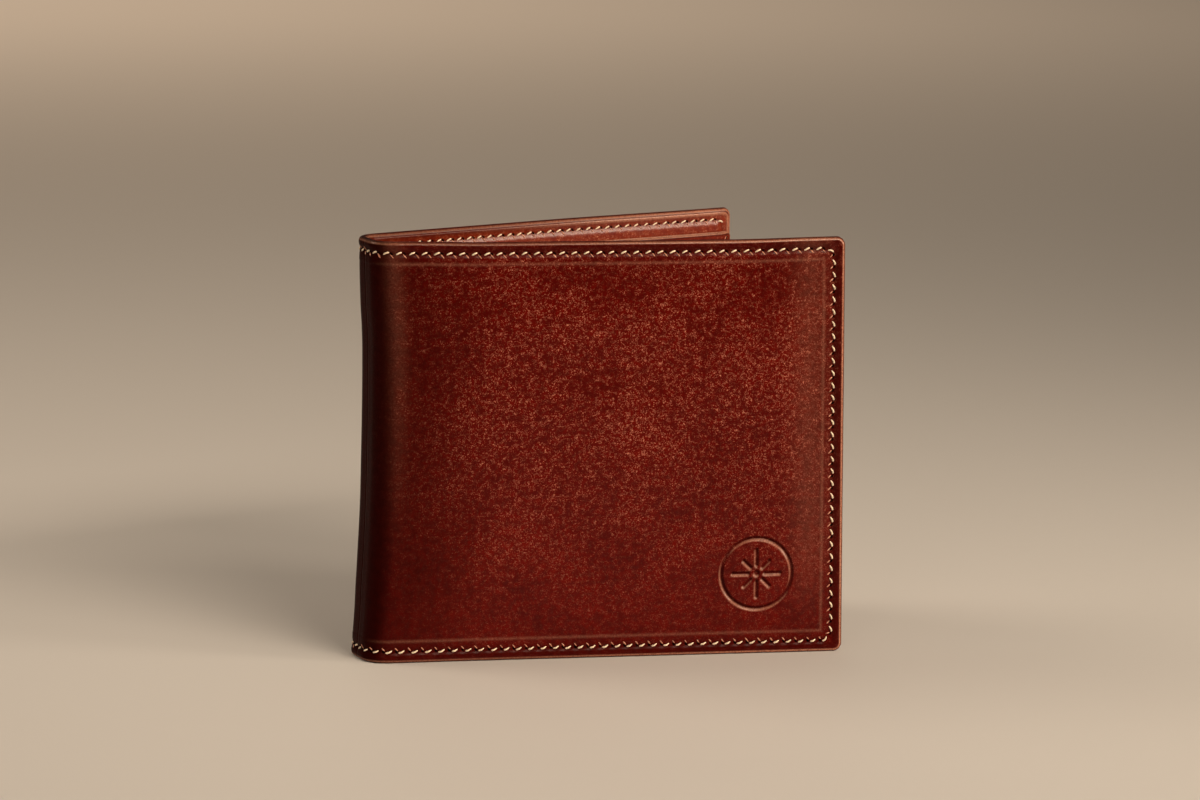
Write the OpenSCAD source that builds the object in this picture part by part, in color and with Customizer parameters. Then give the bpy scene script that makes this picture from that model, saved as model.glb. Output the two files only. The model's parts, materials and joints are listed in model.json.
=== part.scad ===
// Two-leaf leather wallet, standing partly open on its lower edges.
// The spine's foot is the origin: +X runs from the spine into the opening, +Z is up,
// and the front leaf lies on the -Y side with the rear leaf mirrored on the +Y side.
// Leaf pieces are drawn in leaf coordinates: x is u, from the crease towards the free edge,
// y is v, from the cover's middle layer inwards, and z is the height.

/* [Leaf] */
// Length of a leaf, from its crease to its free edge
leaf_w = 106; // [96:0.5:128]
// Height of the cover
leaf_h = 95; // [86:0.5:114]
// Corner radius of the cover's free edge
corner_r = 2; // [1:0.1:4]
// Angle between the two leaves as drawn
open_angle = 26.8; // [10:0.1:60]

/* [Leather] */
// Thickness of the cover leather
cover_t = 1.2; // [0.9:0.05:1.6]
// Thickness of the cover's turned-in hem, and of the stiffening board inside it
board_t = 0.5; // [0.3:0.05:0.8]
// Thickness of the lining
lining_t = 0.4; // [0.3:0.05:0.8]
// Thickness of the divider that closes the note compartment
divider_t = 0.5; // [0.3:0.05:0.8]
// Thickness of the panel that carries the card pockets
base_t = 0.5; // [0.3:0.05:0.8]
// Thickness of each card pocket's leather
pocket_t = 0.55; // [0.4:0.05:0.9]

/* [Rooms] */
// Room for notes between lining and divider
note_room = 0.5; // [0.3:0.05:1.5]
// Room in the slip pocket between divider and pocket panel
slip_room = 0.4; // [0.3:0.05:1.5]
// Room in each card pocket
card_room = 0.45; // [0.3:0.05:0.9]
// Gap that stays between the two pocket stacks when the wallet is shut
shut_gap = 0.7; // [0.6:0.05:3]

/* [Pockets] */
// Number of card pockets on each leaf
pocket_count = 3; // [1:1:4]
// Leather that shows above the top card pocket
pocket_drop = 15; // [8:0.5:20]
// Step from one pocket's top edge down to the next
pocket_step = 12; // [8:0.5:13]
// Depth of a card below its pocket's top edge
card_depth = 44; // [36:0.5:46]
// Distance from the divider's edge beside the fold to the pocket stack
pocket_setback = 2.8; // [1:0.1:5]
// Width of the seam strip that closes a pocket's sides
pocket_seam_w = 3; // [2:0.1:4]
// Distance of the seam beside the fold from the pocket stack's edge
fold_seam_inset = 1.5; // [1:0.1:2]

/* [Hems] */
// Width of the cover's turned-in hem
hem_w = 6; // [4:0.5:9]
// How far the divider stops below the cover's top edge
divider_drop = 5.5; // [3:0.5:12]
// Step in from the cover's edge to the lining's edge
lining_inset = 0.8; // [0.4:0.1:1.5]
// Further step in at each of the inner panels
panel_inset = 0.2; // [0.1:0.1:0.6]

/* [Seam] */
// Distance of the seam from the cover's edge
seam_inset = 2.7; // [2:0.1:4]
// Length of one stitch from hole to hole
stitch_pitch = 2.8; // [2:0.1:4]
// Length of thread that shows in each stitch
stitch_len = 2.1; // [1.4:0.1:2.4]
// Width of the thread
thread_w = 0.45; // [0.3:0.05:0.7]
// Height of the thread, and depth of the channel it lies in
thread_h = 0.2; // [0.12:0.02:0.3]
// Slant of each stitch against the seam
stitch_slant = 10; // [0:1:20]

/* [Mark] */
// Outer radius of the pressed ring
mark_r = 8.5; // [5:0.1:10]
// Width of the pressed lines
mark_line_w = 0.8; // [0.5:0.1:1.2]
// Depth of the pressed lines
mark_depth = 0.25; // [0.1:0.05:0.4]
// Distance of the ring's centre from the free edge
mark_from_edge = 20; // [14:0.5:30]
// Height of the ring's centre
mark_height = 18.6; // [14:0.5:30]

/* [Hidden] */
$fn = 48;

SPINE_PARTS = ["spine_cover", "spine_lining", "fold_gusset", "spine_thread"];
LEAF_PARTS = [
  "cover", "board", "lining", "note_divider", "pocket_panel",
  "needle_thread", "bobbin_thread", "pocket_thread"
];

// Levels through a leaf, from the cover's middle layer inwards.
v_out = -cover_t / 2;
v_cover = cover_t / 2;
v_board = v_cover + board_t;
v_lining = v_board + lining_t;
v_note = v_lining + note_room;
v_divider = v_note + divider_t;
v_slip = v_divider + slip_room;
v_base = v_slip + base_t;
pocket_pitch = card_room + pocket_t;
v_stack = v_base + pocket_count * pocket_pitch;

// Fold: the two crease axes stand spine_w apart, so that the shut leaves lie shut_gap apart.
spine_w = 2 * v_stack + shut_gap;
half_open = open_angle / 2;
rod_gap = 0.1;      // running gap between a crease's round edge and the leaf's cover
fold_gap = 0.2;     // clearance between layers that pass each other in the shut fold

// Where each layer of a leaf starts beside the crease.
cover_start = cover_t / 2 + rod_gap;
lining_start = v_lining + fold_gap + 0.1;
divider_start = v_divider + 0.7;
stack_start = divider_start + pocket_setback;

// Lower edges and far edges of the inner panels.
divider_inset = lining_inset + panel_inset;
panel_edge = divider_inset + panel_inset;
divider_top = leaf_h - divider_drop;
panel_top = divider_top - panel_inset;
rim_w = pocket_seam_w;

// Seam lines.
groove_w = thread_w + 0.35;
seam_r = max(corner_r, seam_inset) * 0.6;
mark_rays = 8;

cover_colour = [0.36, 0.10, 0.05];
lining_colour = [0.42, 0.15, 0.08];
pocket_colour = [0.40, 0.12, 0.06];
board_colour = [0.55, 0.42, 0.30];
thread_colour = [0.82, 0.64, 0.42];

function pocket_top(i) = panel_top - pocket_drop - (i - 1) * pocket_step;
function pocket_v(i) = v_base + i * pocket_pitch;
// The innermost level of the leaf at height z, where the free edge's seam comes through.
function face_v(z) =
  z > divider_top ? v_lining :
  z > pocket_top(1) ? v_base :
  pocket_v(max([for (i = [1:pocket_count]) z <= pocket_top(i) ? i : 0]));

// Puts leaf coordinates in place: side -1 is the front leaf, +1 the rear one.
module leaf(side) {
  mirror([0, side > 0 ? 1 : 0, 0])
    translate([0, -spine_w / 2, 0])
      rotate([0, 0, -half_open])
        children();
}

// A flat shape drawn in (u, z), given its thickness from v0 to v1.
module layer(v0, v1) {
  translate([0, v1, 0]) rotate([90, 0, 0]) linear_extrude(v1 - v0) children();
}

// A leaf panel's outline, with radius r on its two free corners.
module outline(u0, z0, z1, inset, r) {
  u1 = leaf_w - inset;
  translate([u0, z0]) square([u1 - r - u0, z1 - z0]);
  translate([u1 - r, z0 + r]) square([r, z1 - z0 - 2 * r]);
  for (z = [z0 + r, z1 - r]) translate([u1 - r, z]) circle(r);
}

module seam_channel(inset) {
  difference() {
    outline(0, inset - groove_w / 2, leaf_h - inset + groove_w / 2, inset - groove_w / 2, seam_r + groove_w / 2);
    outline(-1, inset + groove_w / 2, leaf_h - inset - groove_w / 2, inset + groove_w / 2, seam_r - groove_w / 2);
  }
}

// The generic pressed mark: a ring around a rosette of alternating long and short rays.
module mark_lines() {
  translate([leaf_w - mark_from_edge, mark_height]) {
    difference() {
      circle(mark_r);
      circle(mark_r - mark_line_w);
    }
    circle(mark_line_w * 0.8);
    for (k = [0:mark_rays - 1])
      rotate(k * 360 / mark_rays)
        translate([mark_r * 0.22, -mark_line_w * 0.35])
          square([mark_r * (k % 2 == 0 ? 0.42 : 0.26), mark_line_w * 0.7]);
  }
}

module cover(side) {
  color(cover_colour) leaf(side) difference() {
    union() {
      layer(v_out, v_cover) outline(cover_start, 0, leaf_h, 0, corner_r);
      layer(v_cover, v_board) difference() {
        outline(lining_start, 0, leaf_h, 0, corner_r);
        translate([lining_start - 1, hem_w])
          square([leaf_w - hem_w - lining_start + 1, leaf_h - 2 * hem_w]);
      }
    }
    layer(v_out - 1, v_out + thread_h) seam_channel(seam_inset);
    if (side < 0) layer(v_out - 1, v_out + mark_depth) mark_lines();
  }
}

module board(side) {
  color(board_colour) leaf(side)
    layer(v_cover, v_board)
      translate([lining_start, hem_w]) square([leaf_w - hem_w - lining_start, leaf_h - 2 * hem_w]);
}

module lining(side) {
  color(lining_colour) leaf(side)
    layer(v_board, v_lining)
      outline(lining_start, lining_inset, leaf_h - lining_inset, lining_inset, corner_r);
}

module note_divider(side) {
  color(pocket_colour) leaf(side) {
    layer(v_note, v_divider) outline(divider_start, divider_inset, divider_top, divider_inset, corner_r);
    layer(v_lining, v_note) difference() {
      outline(divider_start, divider_inset, divider_top, divider_inset, corner_r);
      translate([divider_start - 1, divider_inset + rim_w])
        square([leaf_w - divider_inset - rim_w - divider_start + 1, leaf_h]);
    }
  }
}

// The panel behind the pockets. It is open beside the fold, as a slip pocket.
module pocket_panel(side) {
  color(pocket_colour) leaf(side) {
    layer(v_slip, v_base) outline(stack_start, panel_edge, panel_top, panel_edge, corner_r);
    layer(v_divider, v_slip) difference() {
      outline(stack_start, panel_edge, panel_top, panel_edge, corner_r);
      translate([stack_start - 1, panel_edge + rim_w])
        square([leaf_w - panel_edge - rim_w - stack_start + 1, panel_top - panel_edge - 2 * rim_w]);
    }
  }
}

// Card pocket i, counted from the top: a panel on a seam that runs down both sides and along
// the bottom, with a stop across it that holds the card at its depth.
module card_pocket(side, i) {
  top = pocket_top(i);
  stop = top - card_depth;
  width = leaf_w - panel_edge - stack_start;
  color(pocket_colour) leaf(side) translate([stack_start, 0, 0]) {
    layer(pocket_v(i) - pocket_t, pocket_v(i)) translate([0, panel_edge]) square([width, top - panel_edge]);
    layer(pocket_v(i) - pocket_pitch, pocket_v(i) - pocket_t) {
      for (u = [0, width - rim_w]) translate([u, panel_edge]) square([rim_w, top - panel_edge]);
      translate([0, panel_edge]) square([width, rim_w]);
      translate([0, max(stop - rim_w, panel_edge)]) square([width, rim_w]);
    }
  }
}

// One stitch in (u, z), lying along the direction turn.
module stitch(turn) {
  rotate(turn + stitch_slant) translate([-stitch_len / 2, -thread_w / 2]) square([stitch_len, thread_w]);
}

// Stitches in a straight row from one point to another.
module stitch_row(from, to) {
  run = norm(to - from);
  count = floor(run / stitch_pitch);
  turn = atan2(to[1] - from[1], to[0] - from[0]);
  for (k = [0:count - 1]) translate(from + (to - from) * (k + 0.5) / count) stitch(turn);
}

seam_u = leaf_w - seam_inset;
seam_from = cover_start + 0.6;
seam_top = leaf_h - seam_inset;
corner_run = seam_r;

// The thread that shows on the cover: along the top, down the free edge and along the bottom.
module needle_thread(side) {
  color(thread_colour) leaf(side) layer(v_out, v_out + thread_h) {
    stitch_row([seam_from, seam_top], [seam_u - corner_run, seam_top]);
    stitch_row([seam_u, seam_top - corner_run], [seam_u, seam_inset + corner_run]);
    stitch_row([seam_u - corner_run, seam_inset], [seam_from, seam_inset]);
  }
}

// The same seam where it comes out inside: on the lining at the top, and on the pocket stack.
module bobbin_thread(side) {
  run = seam_top - seam_inset - 2 * corner_run;
  count = floor(run / stitch_pitch);
  color(thread_colour) leaf(side) {
    layer(v_lining, v_lining + thread_h) stitch_row([lining_start + 1, seam_top], [seam_u - corner_run, seam_top]);
    for (k = [0:count - 1]) {
      z = seam_inset + corner_run + run * (k + 0.5) / count;
      v = face_v(z + stitch_len / 2 + thread_w);
      if (v == face_v(z - stitch_len / 2 - thread_w))
        layer(v, v + thread_h) translate([seam_u, z]) stitch(90);
    }
    layer(v_stack, v_stack + thread_h)
      stitch_row([stack_start + 1, seam_inset], [seam_u - corner_run, seam_inset]);
  }
}

// The seam that closes the pockets beside the fold.
module pocket_thread(side) {
  seam = stack_start + fold_seam_inset;
  low = seam_inset + corner_run + stitch_pitch;
  run = pocket_top(1) - low;
  count = floor(run / stitch_pitch);
  color(thread_colour) leaf(side) for (k = [0:count - 1]) {
    z = low + run * (k + 0.5) / count;
    v = face_v(z + stitch_len / 2 + thread_w);
    if (v == face_v(z - stitch_len / 2 - thread_w))
      layer(v, v + thread_h) translate([seam, z]) stitch(90);
  }
}

// A flat shape drawn in (y, z) across the spine, given its thickness from x0 to x1.
module spine_layer(x0, x1) {
  translate([x0, 0, 0]) rotate([90, 0, 90]) linear_extrude(x1 - x0) children();
}

module band(half_w, z0, z1) {
  translate([-half_w, z0]) square([2 * half_w, z1 - z0]);
}

module spine_cover() {
  hem_half = spine_w / 2 - v_cover - fold_gap;
  color(cover_colour) difference() {
    union() {
      spine_layer(v_out, v_cover) band(spine_w / 2, 0, leaf_h);
      for (y = [-1, 1]) translate([0, y * spine_w / 2, 0]) cylinder(h = leaf_h, r = cover_t / 2);
      spine_layer(v_cover, v_board) for (z = [0, leaf_h - hem_w]) band(hem_half, z, z + hem_w);
    }
    for (z = [seam_inset, seam_top])
      spine_layer(v_out - 1, v_out + thread_h)
        band(spine_w / 2 + cover_t, z - groove_w / 2, z + groove_w / 2);
  }
}

module spine_lining() {
  half_w = spine_w / 2 - v_cover - fold_gap;
  color(lining_colour) {
    spine_layer(v_board, v_lining) band(half_w, lining_inset, leaf_h - lining_inset);
    spine_layer(v_cover, v_board) band(half_w, hem_w, leaf_h - hem_w);
  }
}

// The divider's own strip of leather across the fold, closed along the bottom.
module fold_gusset() {
  half_w = spine_w / 2 - v_lining - fold_gap;
  color(pocket_colour) {
    spine_layer(v_note, v_divider) band(half_w, divider_inset, divider_top);
    spine_layer(v_lining, v_note) band(half_w, divider_inset, divider_inset + rim_w);
  }
}

module spine_thread() {
  run = spine_w - 1;
  count = floor(run / stitch_pitch);
  color(thread_colour) spine_layer(v_out, v_out + thread_h)
    for (z = [seam_inset, seam_top])
      for (k = [0:count - 1])
        translate([run * ((k + 0.5) / count - 0.5), z]) stitch(0);
}

module leaf_node(name, side) {
  cover(side);
  board(side);
  lining(side);
  note_divider(side);
  pocket_panel(side);
  for (i = [1:pocket_count])
    card_pocket(side, i);
  needle_thread(side);
  bobbin_thread(side);
  pocket_thread(side);
}

spine_cover();
spine_lining();
fold_gusset();
spine_thread();
leaf_node("front", -1);
leaf_node("rear", 1);
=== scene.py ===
"""Looks of a two-leaf leather wallet that stands partly open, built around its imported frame.

Sizes are in millimetres and become metres when a mesh is made. A leather sheet is drawn by s, the way
along the cover's middle layer from the spine's middle line to the free edge, by z, its height, and by v,
its level from the cover's middle layer inwards. The rear half is the front half mirrored.
"""

import json
import logging
import math
from collections.abc import Callable, Mapping, Sequence
from dataclasses import dataclass
from enum import Enum

import bpy
import numpy as np
from mathutils import Matrix, Vector

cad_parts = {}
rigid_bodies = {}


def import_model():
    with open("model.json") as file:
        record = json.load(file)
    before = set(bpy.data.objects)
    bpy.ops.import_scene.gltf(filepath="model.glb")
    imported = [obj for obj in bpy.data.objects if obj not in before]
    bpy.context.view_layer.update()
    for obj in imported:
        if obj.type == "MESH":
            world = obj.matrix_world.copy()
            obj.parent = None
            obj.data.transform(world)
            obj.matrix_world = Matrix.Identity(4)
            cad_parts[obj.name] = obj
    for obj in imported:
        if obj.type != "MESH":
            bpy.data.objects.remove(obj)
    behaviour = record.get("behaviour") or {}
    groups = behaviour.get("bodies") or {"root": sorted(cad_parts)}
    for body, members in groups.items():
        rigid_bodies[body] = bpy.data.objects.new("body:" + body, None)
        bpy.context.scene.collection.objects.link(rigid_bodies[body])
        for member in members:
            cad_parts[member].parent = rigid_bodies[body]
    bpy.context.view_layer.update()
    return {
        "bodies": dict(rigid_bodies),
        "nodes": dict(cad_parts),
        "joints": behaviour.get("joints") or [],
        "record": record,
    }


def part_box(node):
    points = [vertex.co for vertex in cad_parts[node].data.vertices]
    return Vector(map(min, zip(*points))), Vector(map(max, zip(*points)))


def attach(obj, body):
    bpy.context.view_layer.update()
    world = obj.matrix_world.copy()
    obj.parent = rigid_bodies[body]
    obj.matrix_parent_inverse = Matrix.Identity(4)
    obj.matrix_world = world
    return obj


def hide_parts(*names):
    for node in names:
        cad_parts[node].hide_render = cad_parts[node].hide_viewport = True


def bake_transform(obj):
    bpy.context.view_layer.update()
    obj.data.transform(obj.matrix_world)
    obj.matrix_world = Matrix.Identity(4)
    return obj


LOG = logging.getLogger("wallet")
MM = 0.001
INNER_FACE = 1.1  # level at which the lining lies against the board and the turned hem
COARSE = 4  # cells of a sheet's good side to each cell of its back
EDGE_STEPS = 8  # steps round a sheet's edge
Grid = np.ndarray
Level = Callable[[Grid, Grid], Grid]


def ease(x: Grid, low: float, high: float) -> Grid:
    """Rises smoothly from 0 at low to 1 at high.

    Args:
        x: The values.
        low: Where the rise starts.
        high: Where it ends; below low, the curve falls instead.

    Returns:
        The eased values, from 0 to 1.
    """
    t = np.clip((x - low) / (high - low), 0.0, 1.0)
    return t * t * (3 - 2 * t)


def hump(x: Grid, width: float) -> Grid:
    """A soft hump that is 1 where x is 0 and fades over about the given width."""
    return np.exp(-((x / width) ** 2))


class Side(Enum):
    """The wallet's two halves."""

    FRONT = "front"
    REAR = "rear"

    @property
    def body(self) -> str:
        """The frame's body that this half's leaf belongs to."""
        return f"{self.value}_leaf"

    @property
    def sign(self) -> int:
        """-1 for the half at -Y and +1 for the half at +Y."""
        return -1 if self is Side.FRONT else 1


class Facing(Enum):
    """Which way a sheet's good side looks."""

    OUTWARDS = -1
    INWARDS = 1


# ---------------------------------------------------------------------------------------------------
# The frame's sizes and the fold
# ---------------------------------------------------------------------------------------------------


@dataclass(frozen=True)
class LeafBox:
    """A frame node's extent in leaf coordinates, in millimetres.

    Attributes:
        u0: Its near end, as a distance from the crease's axis.
        u1: Its far end.
        v0: Its outer level.
        v1: Its inner level.
        z0: Its foot.
        z1: Its top.
    """

    u0: float
    u1: float
    v0: float
    v1: float
    z0: float
    z1: float


@dataclass(frozen=True)
class Fold:
    """The line that the leather follows round the spine, seen from above.

    Attributes:
        half_spine: Distance from the spine's middle to a crease's axis.
        half_open: Angle of a leaf from the middle plane, in radians.
        leaf_w: Length of a leaf from its crease's axis.
        leaf_h: Height of the cover.
        bend_r: Radius of the bend at the cover's middle layer.
        top_sag: How far the top edge dips, away from the free corners.
        lean: How much further the front leaf's free edge stands out at the foot than at the top.
        slump: How far the spine's foot stands out, and its upper part in.
        slump_run: How far past the bend the leaf follows that.
        pressed: How much the sewn rims are pressed together, as a share of the layers' depth.
        rim: Distances from the edge between which that comes in.
        foot_run: How far past the bend it comes in along the foot.
    """

    half_spine: float
    half_open: float
    leaf_w: float
    leaf_h: float
    bend_r: float = 5.5
    top_sag: float = 0.45
    lean: float = 1.0
    slump: float = 1.3
    slump_run: float = 24.0
    pressed: float = 0.42
    rim: tuple[float, float] = (4.5, 0.8)
    foot_run: float = 8.0

    @property
    def bend(self) -> float:
        """Angle that the leather turns through at a crease."""
        return math.pi / 2 - self.half_open

    @property
    def reach(self) -> float:
        """Distance from a crease's axis to where its bend ends."""
        return self.bend_r * math.tan(self.bend / 2)

    @property
    def flat(self) -> float:
        """Half the width of the spine's flat part."""
        return self.half_spine - self.reach

    @property
    def leaf_start(self) -> float:
        """The way s at which the bend ends and the flat leaf starts."""
        return self.flat + self.bend_r * self.bend

    @property
    def end(self) -> float:
        """The way s at the free edge."""
        return self.leaf_start + self.leaf_w - self.reach

    def at(self, u: float) -> float:
        """The way s of a place on the leaf, given its distance u from the crease's axis."""
        return self.leaf_start + u - self.reach

    def place(self, s: Grid, v: Grid, z: Grid, side: Side) -> Grid:
        """Puts sheet coordinates into the row frame.

        Args:
            s: Ways along the leather.
            v: Levels through it.
            z: Heights.
            side: The half of the wallet.

        Returns:
            Points in metres, one row each.
        """
        s, v, z = (np.asarray(a, float).ravel() for a in np.broadcast_arrays(s, v, z))
        along = np.clip((s - self.leaf_start) / (self.end - self.leaf_start), 0.0, 1.0)
        if side is Side.FRONT:
            s = s + self.lean * (0.5 - z / self.leaf_h) * along**2
        kept = 1 - self.pressed * self._sewn(s, z)
        v = np.where(v > INNER_FACE, INNER_FACE + (v - INNER_FACE) * kept, v)
        turn = np.clip((s - self.flat) / self.bend_r, 0.0, self.bend)
        past = np.maximum(s - self.leaf_start, 0.0)
        on_spine = s <= self.flat
        radius = self.bend_r - v
        x = np.where(on_spine, v, self.bend_r - radius * np.cos(turn) + past * math.cos(self.half_open))
        y = np.where(on_spine, -s, -self.flat - radius * np.sin(turn) - past * math.sin(self.half_open))
        x = x + self._slumped(z) * ease(s, self.leaf_start + self.slump_run, self.leaf_start - 1.0)
        height = z - self._sag(along, side) * np.clip(z / self.leaf_h, 0.0, 1.0) ** 3
        return np.column_stack([x, -side.sign * y, height]) * MM

    def _sewn(self, s: Grid, z: Grid) -> Grid:
        """How firmly the seam holds the layers together: most at the free edge and at the leaf's foot.

        Args:
            s: Ways along the leather.
            z: Heights.

        Returns:
            Shares from 0 to 1.
        """
        foot = ease(z, *self.rim) * ease(s, self.leaf_start, self.leaf_start + self.foot_run)
        return np.maximum(ease(self.end - s, *self.rim), foot)

    def _slumped(self, z: Grid) -> Grid:
        """How far in the standing wallet's spine has moved: out at the foot, in above, not at the top.

        Args:
            z: Heights.

        Returns:
            Distances inwards.
        """
        turn_z, turn_w = 19.0, 22.0
        foot_z, foot_w, foot_out = 2.0, 8.0, 0.65
        hem_z, free_z = 94.0, 69.0
        swing = self.slump * np.tanh((z - turn_z) / turn_w)
        return (swing - foot_out * hump(z - foot_z, foot_w)) * ease(z, hem_z, free_z)

    def _sag(self, along: Grid, side: Side) -> Grid:
        """How far the top edge dips: the front's between its corners, the rear's towards its free end.

        Args:
            along: Ways along the leaf, as shares of its length.
            side: The half of the wallet.

        Returns:
            Distances downwards.
        """
        least = 0.25
        if side is Side.FRONT:
            return self.top_sag * (least + (1 - least) * ease(along, 0.0, 0.2)) * ease(along, 1.0, 0.74)
        return self.top_sag * (least + (1 - least) * ease(along, 0.45, 1.0))

    def bend_points(self, side: Side) -> tuple[Vector, Vector]:
        """Where a sheet starts to leave the spine, and where it has joined the leaf.

        Args:
            side: The half of the wallet.

        Returns:
            The two points, in metres, at the cover's middle layer.
        """
        ends = self.place(np.array([self.flat, self.leaf_start]), np.zeros(2), np.zeros(2), side)
        return Vector(ends[0]), Vector(ends[1])


@dataclass(frozen=True)
class Frame:
    """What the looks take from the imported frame.

    Attributes:
        fold: The line that the leather follows.
        boxes: The front leaf's nodes, without their side, and their extents.
        spine_x: The spine's nodes and their outer and inner levels.
    """

    fold: Fold
    boxes: Mapping[str, LeafBox]
    spine_x: Mapping[str, tuple[float, float]]

    @classmethod
    def read(cls, frame: Mapping) -> "Frame":
        """Reads the wallet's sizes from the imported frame.


        Returns:
            The sizes, in millimetres.
        """
        joint = next(j for j in frame["joints"] if j["name"] == "front_crease")
        half_spine = -joint["pos_m"][1] / MM
        half_open = -math.radians(joint["range_deg"][0])
        boxes = {}
        spine_x = {}
        for name, node in frame["nodes"].items():
            if name.startswith("front_"):
                boxes[name.removeprefix("front_")] = cls._leaf_box(node, half_spine, half_open)
            elif name.startswith("spine_"):
                low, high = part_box(name)
                spine_x[name] = (low.x / MM, high.x / MM)
        cover = boxes["cover"]
        return cls(Fold(half_spine, half_open, cover.u1, cover.z1), boxes, spine_x)

    @staticmethod
    def _leaf_box(node: bpy.types.Object, half_spine: float, half_open: float) -> LeafBox:
        """Measures a front node in leaf coordinates.

        Args:
            node: The frame's object.
            half_spine: Distance from the middle plane to the crease, in millimetres.
            half_open: The leaf's angle from the middle plane, in radians.

        Returns:
            Its extent.
        """
        co = np.array([v.co for v in node.data.vertices]) / MM
        c, s = math.cos(half_open), math.sin(half_open)
        u = co[:, 0] * c - (co[:, 1] + half_spine) * s
        v = co[:, 0] * s + (co[:, 1] + half_spine) * c
        return LeafBox(u.min(), u.max(), v.min(), v.max(), co[:, 2].min(), co[:, 2].max())


# ---------------------------------------------------------------------------------------------------
# Sheets of leather
# ---------------------------------------------------------------------------------------------------


@dataclass(frozen=True)
class Outline:
    """The outline of a sheet, with rounded corners.

    Attributes:
        s0: Where it starts, at the fold.
        s1: Where it ends, at the free edge.
        z0: Its lower edge.
        z1: Its upper edge.
        far_r: Radius of the corners at the free edge.
        near_r: Radius of the corners at the fold.
        crosses: Whether it goes on across the spine into the other half.
    """

    s0: float
    s1: float
    z0: float
    z1: float
    far_r: float = 2.0
    near_r: float = 1.0
    crosses: bool = False

    def inside(self, s: Grid, z: Grid, inset: float, radius: float) -> Grid:
        """How far inside a rounded rectangle a place is, where that lies inset from the outline.

        Args:
            s: Ways along the leather.
            z: Heights.
            inset: Distance of the rectangle from the outline.
            radius: Its corner radius.

        Returns:
            Distances, positive inside.
        """
        s0 = self.s0 - 1000.0 if self.crosses else self.s0
        half_s, half_z = (self.s1 - s0) / 2 - inset - radius, (self.z1 - self.z0) / 2 - inset - radius
        ds = np.abs(s - (self.s1 + s0) / 2) - half_s
        dz = np.abs(z - (self.z1 + self.z0) / 2) - half_z
        outside = np.hypot(np.maximum(ds, 0), np.maximum(dz, 0))
        return radius - outside - np.minimum(np.maximum(ds, dz), 0)

    def rounded(self, s: Grid, z: Grid) -> tuple[Grid, Grid]:
        """Moves the places near a square corner so that the corner becomes an arc.

        Args:
            s: Ways along the leather.
            z: Heights.

        Returns:
            The moved places.
        """
        s, z = np.array(s, float), np.array(z, float)
        for r, corner_s, way_s in ((self.far_r, self.s1, -1), (self.near_r, self.s0, 1)):
            if way_s > 0 and self.crosses:
                continue
            for corner_z, way_z in ((self.z1, -1), (self.z0, 1)):
                p, q = r - (s - corner_s) * way_s, r - (z - corner_z) * way_z
                near = (p > 0) & (q > 0)
                m, low = np.maximum(p, q), np.minimum(p, q)
                part = math.pi / 4 * low / np.where(m > 0, m, 1.0)
                angle = np.where(p >= q, part, math.pi / 2 - part)
                s = np.where(near, corner_s + way_s * (r - m * np.cos(angle)), s)
                z = np.where(near, corner_z + way_z * (r - m * np.sin(angle)), z)
        return s, z


def add_mesh(
    name: str, points: Grid, faces: list, uv: Grid, flip: bool, marks: Mapping[str, Grid]
) -> bpy.types.Object:
    """Makes a smooth mesh with the leather's or thread's own coordinates.

    Args:
        name: The piece's name.
        points: Its points, in metres.
        faces: Its faces.
        uv: Each point's own coordinates, in metres.
        flip: Whether the faces turn over.
        marks: Numbers stored on the points.

    Returns:
        The new object.
    """
    mesh = bpy.data.meshes.new(name)
    mesh.from_pydata(points.tolist(), [], [f[::-1] for f in faces] if flip else faces)
    mesh.polygons.foreach_set("use_smooth", np.ones(len(faces), bool))
    corners = np.zeros(len(mesh.loops), np.int32)
    mesh.loops.foreach_get("vertex_index", corners)
    mesh.uv_layers.new(name="Grain").data.foreach_set("uv", uv[corners].astype(np.float32).ravel())
    for key, values in marks.items():
        attribute = mesh.attributes.new(key, "FLOAT", "POINT")
        attribute.data.foreach_set("value", np.clip(values, 0, 1).astype(np.float32))
    obj = bpy.data.objects.new(name, mesh)
    bpy.context.scene.collection.objects.link(obj)
    LOG.info("%s: %d faces", name, len(faces))
    return obj


def rule(stops: Sequence[tuple[float, float]], end: float) -> Grid:
    """Grid lines at a spacing of their own in each zone, in whole groups of COARSE cells.

    Args:
        stops: Each zone's start and its spacing.
        end: Where the last zone ends.

    Returns:
        The lines' places.
    """
    lines = [np.array([stops[0][0]])]
    ends = [start for start, _ in stops[1:]] + [end]
    for (start, spacing), stop in zip(stops, ends):
        cells = COARSE * max(1, math.ceil((stop - start) / spacing / COARSE))
        lines.append(np.linspace(start, stop, cells + 1)[1:])
    return np.concatenate(lines)


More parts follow.
